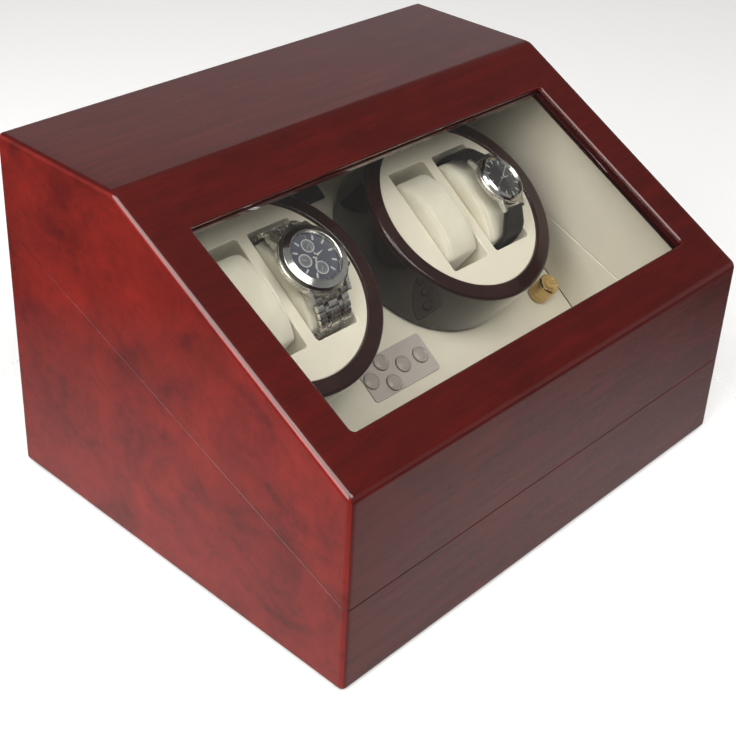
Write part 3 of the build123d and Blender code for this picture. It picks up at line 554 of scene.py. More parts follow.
BLACK_PLASTIC = moulded("black_plastic", (0.018, 0.018, 0.018), (0.03, 0.03, 0.03), (0.4, 0.55))
DIAL_BLUE = piano_lacquer("dial_blue", (0.07, 0.075, 0.095), (0.1, 0.105, 0.13), 0.08)
DIAL_BLACK = piano_lacquer("dial_black", (0.045, 0.045, 0.048), (0.065, 0.065, 0.068), 0.08)
DIAL_RING = moulded("dial_ring", (0.11, 0.115, 0.13), (0.15, 0.155, 0.17), (0.3, 0.45), 4.0, 0.00001)
LIGHT_MARKS = moulded("light_marks", (0.4, 0.41, 0.41), (0.5, 0.51, 0.5), (0.25, 0.35), 4.0, 0.00001)
THREAD = moulded("black_thread", (0.03, 0.03, 0.03), (0.06, 0.06, 0.055), (0.6, 0.8), 4.0)
BLACK_LEATHER = moulded(
    "black_leather", (0.008, 0.008, 0.008), (0.02, 0.018, 0.017), (0.4, 0.6), 1.3, 0.00012
)

CAD_FINISHES = {
    "plain_wood": PLAIN_WOOD,
    "ivory_leatherette": IVORY,
    "cream_fabric": VELVET,
    "espresso_lacquer": ESPRESSO,
    "rim_lacquer": RIM,
    "clear_glass": GLASS,
    "cherry_lacquer": CHERRY_ACROSS,
    "brass": BRASS,
    "zinc_steel": ZINC,
    "watch_steel": STEEL,
    "black_leather": BLACK_LEATHER,
    "black_rubber": RUBBER,
    "keypad_grey": KEYPAD,
    "key_silver": KEY,
    "motor_steel": MOTOR_STEEL,
    "white_nylon": NYLON,
    "circuit_board": BOARD_GREEN,
    "smoked_acrylic": SMOKED,
    "black_plastic": BLACK_PLASTIC,
}


def finish_cad_nodes():
    """Every CAD node that stays in view gets the detailed finish of its slot."""
    for made in nodes.values():
        for holder in made.material_slots:
            holder.material = CAD_FINISHES[holder.material.name.split(".")[0]]


# ---------------------------------------------------------------- cabinet boards
EDGE_RADIUS = 3.5 * MM
AT_EDGE = 1.1 * EDGE_RADIUS
ON_PLANE = 0.001 * MM
NEAR = 0.01 * MM
SEAM_ROUND = 0.35 * MM
OPENING_ROUND = 1.7 * MM
OPENING_CORNER = 3.0 * MM
GLASS_LIP = 4.5 * MM
REBATE_CLEARANCE = 0.5 * MM
OPENING_REACH = 30.0 * MM
# share of a face's normal along X above which a side board's face takes the lighter cherry copy with its
# painted light
PAINTED_LIGHT_SIDE_LIMIT = 0.6

SLOPE_POINT, SLOPE_NORMAL = flat_face("window_frame", (0, -0.5, 1))
UP_FRAME = SLOPE_NORMAL.cross(ACROSS)
UNDER_POINT, UNDER_NORMAL = flat_face("window_frame", (0, 0.5, -1))
LID_SEAM_POINT, LID_SEAM_NORMAL = flat_face("lid_side_left", (0, 0.35, -1))
BASE_SEAM_POINT, BASE_SEAM_NORMAL = flat_face("base_side_left", (0, -0.35, 1))
BASE_LOW, BASE_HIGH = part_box("base_side_left")
LID_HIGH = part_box("lid_side_left")[1]
TOP_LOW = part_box("lid_top")[0]
HALF_WIDTH = -BASE_LOW.x
INNER_X = -BASE_HIGH.x
FRONT_Y = BASE_LOW.y
BACK_Y = BASE_HIGH.y
WALL = HALF_WIDTH - INNER_X
CREASE_Y = TOP_LOW.y


def slope_height(y):
    """Height of the sloping front's surface at a depth."""
    return SLOPE_POINT.z - (y - SLOPE_POINT.y) * SLOPE_NORMAL.y / SLOPE_NORMAL.z


def cabinet_block():
    """The closed cabinet as one block with rounded edges."""
    outline = [
        (FRONT_Y, BASE_LOW.z),
        (BACK_Y, BASE_LOW.z),
        (BACK_Y, LID_HIGH.z),
        (CREASE_Y, LID_HIGH.z),
        (FRONT_Y, slope_height(FRONT_Y)),
    ]
    bm = prism(outline, -HALF_WIDTH, HALF_WIDTH)
    bm.transform(SIDEWAYS)
    return soften(bm, EDGE_RADIUS, 7, 10.0)


def is_outer_seam_edge(edge):
    """True for an edge of a board's seam face that shows outside."""
    middle = (edge.verts[0].co + edge.verts[1].co) / 2
    on_lid = abs((middle - LID_SEAM_POINT).dot(LID_SEAM_NORMAL)) < ON_PLANE
    on_base = abs((middle - BASE_SEAM_POINT).dot(BASE_SEAM_NORMAL)) < ON_PLANE
    shows_at_side = abs(middle.x) > HALF_WIDTH - AT_EDGE
    shows_at_end = middle.y < FRONT_Y + AT_EDGE or middle.y > BACK_Y - AT_EDGE
    along = (edge.verts[1].co - edge.verts[0].co).normalized()
    is_joint = abs(abs(middle.x) - INNER_X) < ON_PLANE and abs(along.x) < 0.5
    return (on_lid or on_base) and (shows_at_side or shows_at_end) and not is_joint


def board(planes):
    """Part of the cabinet block: what lies behind each (point, normal) plane."""
    bm = cabinet_block()
    for point, normal in planes:
        trim(bm, point, normal)
    return soften(bm, SEAM_ROUND, 3, 20.0, is_outer_seam_edge)


def side_board(planes):
    """A side board: its broad faces take a lighter copy of the cherry, painted light that stands for the key
    lamp falling on the sides, and its edges match the front's.
    """
    bm = board(planes)
    bm.normal_update()
    for face in bm.faces:
        face.material_index = 0 if abs(face.normal.x) > PAINTED_LIGHT_SIDE_LIMIT else 1
    return bm


def build_boards():
    """The lacquered boards of the base and the lid."""
    veneers = [CHERRY_SIDE_PAINTED_LIGHT, CHERRY_ACROSS]
    between = [((INNER_X, 0, 0), (1, 0, 0)), ((-INNER_X, 0, 0), (-1, 0, 0))]
    low_part = [(BASE_SEAM_POINT, BASE_SEAM_NORMAL)]
    high_part = [(LID_SEAM_POINT, LID_SEAM_NORMAL)]
    behind_front = [((0, FRONT_Y + WALL, 0), (0, 1, 0))]
    for side, name in SIDES:
        outer = [((side * INNER_X, 0, 0), (-side, 0, 0))]
        low_board = side_board(outer + low_part)
        piece(f"side_board_{name}_base", low_board, veneers, "cabinet_base", f"base_side_{name}")
        high_board = side_board(outer + high_part)
        piece(f"side_board_{name}_lid", high_board, veneers, "lid", f"lid_side_{name}")
    low_front = board(between + behind_front + low_part)
    piece("front_board_base", low_front, CHERRY_ACROSS, "cabinet_base", "base_front")
    front = board(between + behind_front + high_part + [(UNDER_POINT, -UNDER_NORMAL)])
    piece("front_board_lid", front, CHERRY_ACROSS, "lid", "lid_front")
    top_planes = [((0, CREASE_Y, 0), (0, -1, 0)), ((0, 0, TOP_LOW.z), (0, 0, -1))]
    piece("top_board", board(between + top_planes), CHERRY_ACROSS, "lid", "lid_top")
    build_window_frame(between)


def build_window_frame(between):
    """The sloping board with its glazed opening."""
    place = axes(ACROSS, UP_FRAME, SLOPE_NORMAL, SLOPE_POINT)
    glass_low, glass_high = span("window_glass", place)
    low = glass_low + Vector((GLASS_LIP, GLASS_LIP, 0))
    high = glass_high - Vector((GLASS_LIP, GLASS_LIP, 0))
    bm = board(between + [((0, CREASE_Y, 0), (0, 1, 0)), (UNDER_POINT, UNDER_NORMAL)])
    outline = [(low.x, low.y), (high.x, low.y), (high.x, high.y), (low.x, high.y)]
    opening = prism(rounded(outline, OPENING_CORNER, 6, True), -OPENING_REACH, OPENING_REACH)
    opening.transform(place)
    grown = Vector((REBATE_CLEARANCE, REBATE_CLEARANCE, 0))
    rebate = block(glass_low - grown - Vector((0, 0, OPENING_REACH)), glass_high + grown)
    rebate.transform(place)
    bm = cut_away(cut_away(bm, rebate), opening)
    inverse = place.inverted()

    def is_opening_edge(edge):
        ends = [inverse @ vertex.co for vertex in edge.verts]
        within_x = all(low.x - NEAR < end.x < high.x + NEAR for end in ends)
        within_y = all(low.y - NEAR < end.y < high.y + NEAR for end in ends)
        return within_x and within_y and all(abs(end.z) < NEAR for end in ends)

    soften(bm, OPENING_ROUND, 5, 30.0, is_opening_edge, False)
    piece("window_surround", bm, CHERRY_ACROSS, "lid", "window_frame")


# ---------------------------------------------------------------- linings, hinges and small fittings
LINING_ROUND = 0.8 * MM


def build_linings():
    """Padded ivory linings with soft edges."""
    for name in ("lid_lining_left", "lid_lining_right", "lid_lining_back"):
        piece(f"{name}_skin", soften(cad_copy(name), LINING_ROUND, 3), IVORY, "lid", name)
    for name in ("base_lining_left", "base_lining_right"):
        piece(f"{name}_skin", soften(cad_copy(name), LINING_ROUND, 3), IVORY, "cabinet_base", name)


def build_fittings():
    """Hinge leaves, keypad plate and beads with their edges broken."""
    for name, body in (("hinge_leaves_base", "cabinet_base"), ("hinge_leaves_lid", "lid")):
        piece(f"{name}_brass", soften(cad_copy(name), 0.12 * MM, 2), BRASS, body, name)
    cover = soften(cad_copy("keypad_plate"), 0.25 * MM, 3)
    piece("keypad_cover", cover, KEYPAD, "cabinet_base", "keypad_plate")
    strips = soften(cad_copy("glazing_beads"), 0.5 * MM, 3)
    piece("glazing_strips", strips, CHERRY_ACROSS, "lid", "glazing_beads")


DISPLAY_FRAME = 3.5 * MM
DISPLAY_RECESS = 0.5 * MM


def build_display():
    """Dark display: a raised frame around a sunk polished window."""
    low, high = span("display_window")
    half_x = high.x
    half_v = (high.y - low.y) / 2
    place = DECK @ shift(0, (low.y + high.y) / 2, 0)

    def outline(inset, radius):
        x = half_x - inset
        v = half_v - inset
        return rounded([(-x, -v), (x, -v), (x, v), (-x, v)], radius, 6, True)

    sunk = prism(outline(DISPLAY_FRAME, 1 * MM), -1 * MM, 5 * MM)
    frame_ring = cut_away(prism(outline(0, 1.5 * MM), 0, high.z), sunk)
    soften(frame_ring, 0.25 * MM, 3)
    window = prism(outline(DISPLAY_FRAME - 0.2 * MM, 1 * MM), low.z, high.z - DISPLAY_RECESS)
    whole = join([paint(frame_ring, 0), paint(window, 1)])
    piece("display_panel", whole, [BLACK_PLASTIC, SMOKED], "cabinet_base", "display_window", place)


def build_keys():
    """Round keys with a raised ring and a domed middle, each on its stem."""
    for name in ("key_up", "key_right", "key_down", "key_left", "key_mode"):
        low, high = span(name)
        radius = (high.x - low.x) / 2
        cap_low = high.z - 1.8 * MM
        stem = 2.2 * MM
        profile = rounded(
            [
                (0, low.z),
                (stem, low.z),
                (stem, cap_low),
                (radius, cap_low),
                (radius, high.z - 0.3 * MM),
                (radius - 0.8 * MM, high.z - 0.05 * MM),
                (radius - 1.3 * MM, high.z - 0.85 * MM),
                (radius * 0.5, high.z - 0.15 * MM),
                (0, high.z),
            ],
            [0, 0.2 * MM, 0, 0.15 * MM, 0.3 * MM, 0.3 * MM, 0.25 * MM, 3 * MM, 0],
            5,
        )
        place = DECK @ shift((low.x + high.x) / 2, (low.y + high.y) / 2, 0)
        piece(f"{name}_cap", lathe(profile, 64), KEY, f"{name}_body", name, place, 50)


def build_thumbscrews():
    """Lathe-turned brass heads with two fine grooves and a coned, faced top."""
    for _, name in SIDES:
        low, high = span(f"thumbscrew_{name}")
        radius = (high.x - low.x) / 2
        seat = 0.3 * MM
        groove = 0.15 * MM
        top = high.z
        shank = 2 * MM
        outline = [
            (0, low.z),
            (shank, low.z),
            (shank, seat),
            (radius * 0.8, seat),
            (radius, seat + 1.3 * MM),
        ]
        for height in (0.2, 0.3):
            middle = seat + (top - seat) * height
            outline += [
                (radius, middle - 0.3 * MM),
                (radius - groove, middle - 0.15 * MM),
                (radius - groove, middle + 0.15 * MM),
                (radius, middle + 0.3 * MM),
            ]
        outline += [
            (radius, top - 1.0 * MM),
            (radius - 0.9 * MM, top),
            (radius - 1.5 * MM, top - 0.05 * MM),
            (radius * 0.3, top - 1.3 * MM),
            (radius * 0.12, top - 1.2 * MM),
            (0, top - 1.1 * MM),
        ]
        place = DECK @ shift((low.x + high.x) / 2, (low.y + high.y) / 2, 0)
        head = lathe(rounded(outline, 0.12 * MM, 3), 128)
        screw = f"thumbscrew_{name}"
        piece(f"{screw}_turned", head, BRASS, f"{screw}_body", screw, place, 50)


# ---------------------------------------------------------------- turntables
DRUM_FLOOR_LOW = 3.0 * MM
DRUM_FLOOR_HIGH = 7.0 * MM
DRUM_WALL = 3.0 * MM
POCKET_ROUND = 0.9 * MM


def build_turntable(side, name):
    """Drum, rim and pocketed face of one turntable."""
    body = f"turntable_{name}"
    place = DECK @ shift(side * TURNTABLE_X, 0, 0)
    low, high = span(f"drum_{name}", place)
    radius = high.x
    bore = 5 * MM
    hub = 9 * MM
    profile = rounded(
        [
            (bore, low.z),
            (hub, low.z),
            (hub, DRUM_FLOOR_LOW),
            (radius, DRUM_FLOOR_LOW),
            (radius, high.z),
            (radius - DRUM_WALL, high.z),
            (radius - DRUM_WALL, DRUM_FLOOR_HIGH),
            (bore, DRUM_FLOOR_HIGH),
        ],
        [0, 0.3 * MM, 0, 1.5 * MM, 0.5 * MM, 0.3 * MM, 1 * MM, 0],
        5,
        True,
    )
    piece(f"drum_{name}_shell", lathe(profile, 224, True), ESPRESSO, body, f"drum_{name}", place)

    low, high = span(f"rim_{name}", place)
    outer = high.x
    ring = [vertex.co for vertex in nodes[f"rim_{name}"].data.vertices]
    inner = min((place.inverted() @ point).xy.length for point in ring)
    profile = rounded(
        [(inner, low.z), (outer, low.z), (outer, high.z), (inner, high.z)],
        [0.2 * MM, 0.7 * MM, 2.3 * MM, 1.2 * MM],
        9,
        True,
    )
    piece(f"rim_{name}_ring", lathe(profile, 256, True), RIM, body, f"rim_{name}", place)

    top = span(f"face_{name}", place)[1].z
    inverse = place.inverted()

    def is_top_edge(edge):
        return all(abs((inverse @ vertex.co).z - top) < NEAR for vertex in edge.verts)

    plate = soften(cad_copy(f"face_{name}"), POCKET_ROUND, 4, 30.0, is_top_edge)
    piece(f"face_{name}_panel", plate, IVORY, body, f"face_{name}")


# ---------------------------------------------------------------- pillows
SHOULDER_DROP = 11.5 * MM
PILLOW_BOTTOM_ROUND = 4 * MM
PIPING_RADIUS = 0.55 * MM
PIPING_INSET = 3.6 * MM


def crown(half_length, shoulder, top, steps=28):
    """Arc over the pillow from one end to the other, as (v, n) points."""
    rise = top - shoulder
    radius = (half_length**2 + rise**2) / (2 * rise)
    centre = top - radius
    points = []
    for i in range(steps + 1):
        v = half_length * (2 * i / steps - 1)
        points.append((v, centre + (radius**2 - v**2) ** 0.5))
    return points


def stuffed(bm, voxel, pressure, cap):
    """A padded form: remeshed and blown up as cloth, with no point moving further than the cap."""
    body = loose(bm)
    remesh = body.modifiers.new("remesh", "REMESH")
    remesh.mode = "VOXEL"
    remesh.voxel_size = voxel
    body = loose(settled(body))
    home = [vertex.co.copy() for vertex in body.data.vertices]
    cloth = body.modifiers.new("cloth", "CLOTH")
    cloth.settings.use_pressure = True
    cloth.settings.uniform_pressure_force = pressure
    cloth.settings.effector_weights.gravity = 0
    scene = bpy.context.scene
    for step in range(1, 21):
        scene.frame_set(step)
        bpy.context.evaluated_depsgraph_get()
    blown = settled(body)
    bpy.context.scene.frame_set(1)
    blown.verts.ensure_lookup_table()
    for vertex, start in zip(blown.verts, home):
        move = vertex.co - start
        if move.length > cap:
            vertex.co = start + move * (cap / move.length)
    body = loose(blown)
    smooth = body.modifiers.new("smooth", "SMOOTH")
    smooth.factor = 0.5
    smooth.iterations = 4
    finer = body.modifiers.new("finer", "SUBSURF")
    finer.levels = 1
    return settled(body)


def piping_path(surface, x, middle, count=150):
    """Points where a flat section across the pillow meets its surface."""
    path = []
    for i in range(count):
        angle = 2 * pi * i / count
        direction = Vector((0, cos(angle), sin(angle)))
        hit = surface.ray_cast(Vector((x, 0, middle)), direction)[0]
        if hit is not None:
            path.append(hit - direction * PIPING_RADIUS * 0.4)
    return path


def build_pillow(name, body, swell):
    """One watch pillow: a stuffed band between two side panels, with piping along its seams."""
    low, high = span(name)
    place = DECK @ shift((low.x + high.x) / 2, 0, 0)
    half_width = (high.x - low.x) / 2
    half_length = (high.y - low.y) / 2
    inset = swell
    top = high.z - inset
    bottom = low.z + inset * 0.3
    half_v = half_length - inset
    arch = crown(half_v, high.z - SHOULDER_DROP, top)
    corners = [(-half_v, bottom), (half_v, bottom)] + arch[::-1]
    outline = rounded(corners, [PILLOW_BOTTOM_ROUND] * 2 + [0] * len(arch), 6, True)
    bm = prism(outline, -(half_width - inset), half_width - inset)
    bm.transform(SIDEWAYS)
    soften(bm, 1.6 * MM, 3, 40.0)
    padded = stuffed(bm, 1.7 * MM, 4.0, swell)
    seam_x = half_width - PIPING_INSET
    for vertex in padded.verts:
        if abs(vertex.normal.x) < 0.75:
            away = (abs(vertex.co.x) - seam_x) / (0.9 * MM)
            vertex.co -= vertex.normal * 0.7 * MM * 2.718 ** (-(away**2))
    for vertex in padded.verts:
        vertex.co.z = max(vertex.co.z, low.z)
        vertex.co.x = max(-half_width - 0.4 * MM, min(half_width + 0.4 * MM, vertex.co.x))
    surface = BVHTree.FromBMesh(padded)
    middle = (low.z + high.z) / 2
    cords = [tube(piping_path(surface, side * seam_x, middle), PIPING_RADIUS, 8, True) for side in (-1, 1)]
    pillow = piece(f"{name}_cushion", padded, VELVET, body, name, place, 80)
    cord = piece(f"{name}_piping", join(cords), VELVET, body, [], place, 80)


# ---------------------------------------------------------------- watches
def ribbon_frames(path):
    """(point, along, outward) at each point of a (v, n) path that runs with its outside to the left."""
    frames = []
    for i, point in enumerate(path):
        before = Vector(path[max(i - 1, 0)])
        after = Vector(path[min(i + 1, len(path) - 1)])
        along = (after - before).normalized()
        frames.append((Vector(point), along, Vector((-along.y, along.x))))
    return frames


def resampled(path, pitch):
    """Points at an even pitch along a path."""
    result = [Vector(path[0])]
    left = pitch
    for first, second in zip(path, path[1:]):
        start, end = Vector(first), Vector(second)
        length = (end - start).length
        while length >= left:
            start = start + (end - start) * (left / length)
            result.append(start.copy())
            length = (end - start).length
            left = pitch
        left -= length
    return result


def band_path(pillow, lug_v, lug_n, gap):
    """Half of a watch band's middle line in (v, n): from a lug, over the pillow's end and under it."""
    low, high = span(pillow)
    end = (high.y - low.y) / 2 + gap
    under = low.z - gap
    points = [
        (lug_v, lug_n),
        (lug_v + 3 * MM, lug_n - 2.2 * MM),
        (end - 1.5 * MM, high.z - SHOULDER_DROP + 7 * MM),
        (end, high.z - SHOULDER_DROP - 3 * MM),
        (end, under),
        (0, under),
    ]
    return rounded(points, [0, 3 * MM, 14 * MM, 14 * MM, 5 * MM, 0], 10)


# material numbers of a watch's finishes
CASE, BRIGHT, DIAL, SUNK, LIGHT = range(5)


def watch_body(radius, height, dial_radius):
    """Case middle and polished bezel with its flange, as one bmesh."""
    middle = lathe(
        rounded(
            [
                (0, 0),
                (radius * 0.84, 0),
                (radius * 0.97, height * 0.2),
                (radius, height * 0.3),
                (radius, height * 0.54),
                (radius * 0.965, height * 0.6),
                (0, height * 0.6),
            ],
            [0, 0.6 * MM, 0.8 * MM, 0.5 * MM, 0.6 * MM, 0.2 * MM, 0],
            4,
        ),
        144,
    )
    bezel = lathe(
        rounded(
            [
                (dial_radius - 1.2 * MM, height * 0.58),
                (radius * 0.985, height * 0.58),
                (radius * 0.985, height * 0.7),
                (radius * 0.93, height * 0.86),
                (dial_radius + 0.6 * MM, height * 0.985),
                (dial_radius, height * 0.94),
                (dial_radius - 1.2 * MM, height * 0.78),
            ],
            [0, 0.3 * MM, 0.5 * MM, 0.8 * MM, 0.5 * MM, 0.2 * MM, 0],
            4,
            True,
        ),
        144,
        True,
    )
    return join([paint(middle, CASE), paint(bezel, BRIGHT)])


def lug(side, end, inner_x, width, height, reach, start):
    """One curved lug, pointing to the end it is given."""
    outline = rounded(
        [
            (start, height * 0.14),
            (reach - 1.5 * MM, -0.2 * MM),
            (reach, 0.5 * MM),
            (reach - 0.3 * MM, 2.6 * MM),
            (start + 2 * MM, height * 0.58),
            (start - 2 * MM, height * 0.58),
        ],
        [0, 1.2 * MM, 0.9 * MM, 1.2 * MM, 4 * MM, 0],
        5,
        True,
    )
    bm = prism(outline, inner_x, inner_x + width)
    bm.transform(SIDEWAYS)
    soften(bm, 0.3 * MM, 2, 40.0)
    return (bm, Matrix.Diagonal((side, end, 1, 1)))


def crown_wheel(radius, length, teeth):
    """Knurled winding crown along +X."""

    def knurl(reach, angle):
        on_rim = reach > radius * 0.97
        return reach * (1 - 0.035 * (1 + cos(teeth * angle)) / 2) if on_rim else reach

    profile = [
        (0, 0),
        (radius * 0.55, 0),
        (radius * 0.55, length * 0.2),
        (radius * 0.9, length * 0.22),
        (radius, length * 0.3),
        (radius, length * 0.85),
        (radius * 0.9, length * 0.96),
        (radius * 0.5, length),
        (0, length),
    ]
    bm = lathe(profile, teeth * 6, False, knurl)
    bm.transform(SIDEWAYS)
    return bm


def marker(angle, inner, outer, width, height, base):
    """A thin bar on a dial, pointing at the centre."""
    bm = block((-width / 2, inner, base), (width / 2, outer, base + height))
    return (bm, Matrix.Rotation(-angle, 4, "Z"))


def hand(hours, length, tail, width, height, base):
    """A tapering hand that points at an hour."""
    root = width * 0.35
    half = width / 2
    widest = length * 0.25
    outline = [(-root, -tail), (root, -tail), (half, widest), (0, length), (-half, widest)]
    return (prism(outline, base, base + height), Matrix.Rotation(-2 * pi * hours / 12, 4, "Z"))


def ring(radius, width, low, high, segments=64):
    """A flat ring."""
    inner = radius - width
    return lathe([(inner, low), (radius, low), (radius, high), (inner, high)], segments, True)


def plate(radius, level, segments):
    """A thin round plate, as the one face that shows."""
    return lathe([(radius, level), (0, level)], segments)


def arbor(radius, level, height, crown):
    """The cap that holds a dial's hands."""
    return lathe([(radius, level), (radius, level + height), (0, level + crown)], 32)


def crystal(radius, low, height):
    """Slightly domed watch glass."""
    steps = 8
    dome = [(radius * (1 - i / steps), low + height * (1 - (1 - i / steps) ** 2)) for i in range(steps + 1)]
    return lathe([(radius, low - 0.8 * MM)] + dome, 96)


def chronograph_dial(radius, level):
    """Dial plate, scale, three small dials, bar markers and hands, with or without their places."""
    parts = [paint(plate(radius, level, 96), DIAL)]
    for i in range(60):
        inner = radius * (0.93 if i % 5 else 0.9)
        bar, turn = marker(2 * pi * i / 60, inner, radius * 0.97, 0.22 * MM, 0.08 * MM, level)
        parts.append((paint(bar, LIGHT), turn))
    small = radius * 0.27
    floor = level + 0.05 * MM
    for x, y in ((0, 1), (-1, 0), (0, -1)):
        place = shift(x * radius * 0.47, y * radius * 0.47, 0)
        parts.append((paint(ring(small, small * 0.16, level, level + 0.12 * MM), LIGHT), place))
        parts.append((paint(plate(small * 0.84, floor, 48), SUNK), place))
        hours = 1.3 + 3.1 * (x + 2 * y)
        pointer, turn = hand(hours, small * 0.75, small * 0.2, 0.35 * MM, 0.1 * MM, level + 0.15 * MM)
        parts.append((paint(pointer, LIGHT), place @ turn))
        for i in range(12):
            tick, turn = marker(2 * pi * i / 12, small * 0.6, small * 0.8, 0.14 * MM, 0.06 * MM, floor)
            parts.append((paint(tick, LIGHT), place @ turn))
    for i in range(12):
        if i in (0, 6, 9):
            continue
        bar, turn = marker(2 * pi * i / 12, radius * 0.68, radius * 0.87, 1.1 * MM, 0.35 * MM, level)
        parts.append((paint(soften(bar, 0.08 * MM, 1), LIGHT), turn))
    for hours, length, width, lift in ((2.58, 0.5, 1.3, 0.5), (7.0, 0.8, 1.0, 0.75), (0.2, 0.9, 0.3, 1.0)):
        base = level + lift * MM
        pointer, turn = hand(hours, radius * length, radius * 0.14, width * MM, 0.15 * MM, base)
        parts.append((paint(pointer, LIGHT), turn))
    parts.append(paint(arbor(0.9 * MM, level, 1.1 * MM, 1.2 * MM), BRIGHT))
    return parts


def dress_dial(radius, level):
    """Plain dark dial with slim bar markers, a fine scale and three hands."""
    parts = [paint(plate(radius, level, 96), DIAL)]
    for i in range(60):
        angle = 2 * pi * i / 60
        if i % 5:
            bar, turn = marker(angle, radius * 0.93, radius * 0.97, 0.14 * MM, 0.05 * MM, level)
        else:
            bar, turn = marker(angle, radius * 0.74, radius * 0.95, 0.75 * MM, 0.3 * MM, level)
        parts.append((paint(bar, LIGHT), turn))
    parts.append(paint(ring(radius * 0.66, 0.15 * MM, level, level + 0.05 * MM), SUNK))
    for hours, length, width, lift in ((3.1, 0.5, 1.1, 0.4), (1.9, 0.8, 0.8, 0.6), (8.2, 0.88, 0.2, 0.8)):
        base = level + lift * MM
        pointer, turn = hand(hours, radius * length, radius * 0.12, width * MM, 0.12 * MM, base)
        parts.append((paint(pointer, LIGHT), turn))
    parts.append(paint(arbor(0.7 * MM, level, 0.95 * MM, 1 * MM), BRIGHT))
    return parts


# lug_x is half the space between two lugs, reach is how far they go from the case's middle, and
# pushers are places along the case's right side
CHRONOGRAPH = {
    "radius": 21.8 * MM,
    "height": 12.0 * MM,
    "dial_radius": 15.6 * MM,
    "lug_x": 12.7 * MM,
    "lug_width": 2.6 * MM,
    "reach": 24 * MM,
    "dial": chronograph_dial,
    "dial_finish": DIAL_BLUE,
    "pushers": (-9.5 * MM, 9.5 * MM),
}
DRESS_WATCH = {
    "radius": 17.6 * MM,
    "height": 8.8 * MM,
    "dial_radius": 14.2 * MM,
    "lug_x": 9.6 * MM,
    "lug_width": 2.2 * MM,
    "reach": 20.5 * MM,
    "dial": dress_dial,
    "dial_finish": DIAL_BLACK,
    "pushers": (),
}


def build_watch(name, place, body, watch):
    """A whole watch head: case, lugs, crown, dial and glass."""
    radius = watch["radius"]
    height = watch["height"]
    dial_radius = watch["dial_radius"]
    lug_x = watch["lug_x"]
    lug_width = watch["lug_width"]
    parts = [watch_body(radius, height, dial_radius)]
    start = (radius**2 - (lug_x + lug_width) ** 2) ** 0.5 - 2 * MM
    for side in (-1, 1):
        for end in (-1, 1):
            parts.append(lug(side, end, lug_x, lug_width, height, watch["reach"], start))
    stem_height = height * 0.36
    winder = crown_wheel(radius * 0.135, 3.4 * MM, 28)
    parts.append((paint(winder, BRIGHT), shift(radius - 0.7 * MM, 0, stem_height)))
    for v in watch["pushers"]:
        button = crown_wheel(1.6 * MM, 4.6 * MM, 1)
        turn = Matrix.Rotation(v / radius, 4, "Z")
        parts.append((paint(button, BRIGHT), turn @ shift(radius - 1.6 * MM, 0, stem_height)))
    parts += watch["dial"](dial_radius, height * 0.78)
    finishes = [STEEL, POLISHED, watch["dial_finish"], DIAL_RING, LIGHT_MARKS]
    piece(name, join(parts), finishes, body, f"{name}_case", place, 35)
    dome = crystal(dial_radius + 0.2 * MM, height * 0.955, height * 0.045)
    glass = piece(f"{name}_crystal", dome, GLASS, body, [], place)


LINK_PITCH = 4.2 * MM
LINK_GAP = 0.5 * MM
BRACELET_THICKNESS = 2.8 * MM
LATE_THINNESS = 0.88
BRACELET_GAP = 1.9 * MM
# middle and width of each element across a row, and whether it sits half a pitch further on
LINK_ROW = (
    (-9.7, 5.0, False, 0),
    (-5.3, 3.0, True, 1),
    (0.0, 6.8, False, 0),
    (5.3, 3.0, True, 1),
    (9.7, 5.0, False, 0),
)


def build_bracelet(pillow, place, up, lug_v, lug_n, body):
    """Rows of steel links around the pillow, from lug to lug of a watch set `up` the slope."""
    parts = []
    for end in (-1, 1):
        half = band_path(pillow, lug_v + end * up, lug_n, BRACELET_GAP)
        rows = ribbon_frames(resampled(half, LINK_PITCH / 2))
        for i in range(0, len(rows) - 1, 2):
            for x, width, late, finish in LINK_ROW:
                index = min(i + 1 if late else i, len(rows) - 1)
                point, along, outward = rows[index]
                half_size = Vector((width * MM, LINK_PITCH - LINK_GAP, BRACELET_THICKNESS)) / 2
                half_size.z *= LATE_THINNESS if late else 1.0
                link_block = soften(block(-half_size, half_size), 0.45 * MM, 2)
                spot = (x * MM, point.x, point.y)
                turn = axes((1, 0, 0), (0, along.x, along.y), (0, outward.x, outward.y), spot)
                mirror = Matrix.Diagonal((1, end, 1, 1))
                parts.append((paint(link_block, finish), mirror @ turn))
    piece("chronograph_links", join(parts), [STEEL, POLISHED], body, "chronograph_bracelet", place, 40)


STRAP_THICKNESS = 2.4 * MM
STRAP_GAP = 1.7 * MM
STRAP_STEP = 0.9 * MM
STRAP_SETTLE = 14 * MM
STITCH_INSET = 1.9 * MM
STITCH_SIZE = Vector((0.44, 1.6, 0.4)) * MM


def strap_section(width, thickness):
    """Rounded cross section of a padded strap, as (x, height) points."""
    x = width / 2
    h = thickness / 2
    points = [(-x, -h), (x, -h), (x, h * 0.2), (x - 2.6 * MM, h), (-x + 2.6 * MM, h), (-x, h * 0.2)]
    return rounded(points, [0.4 * MM, 0.4 * MM, 0.5 * MM, 2 * MM, 2 * MM, 0.5 * MM], 4, True)


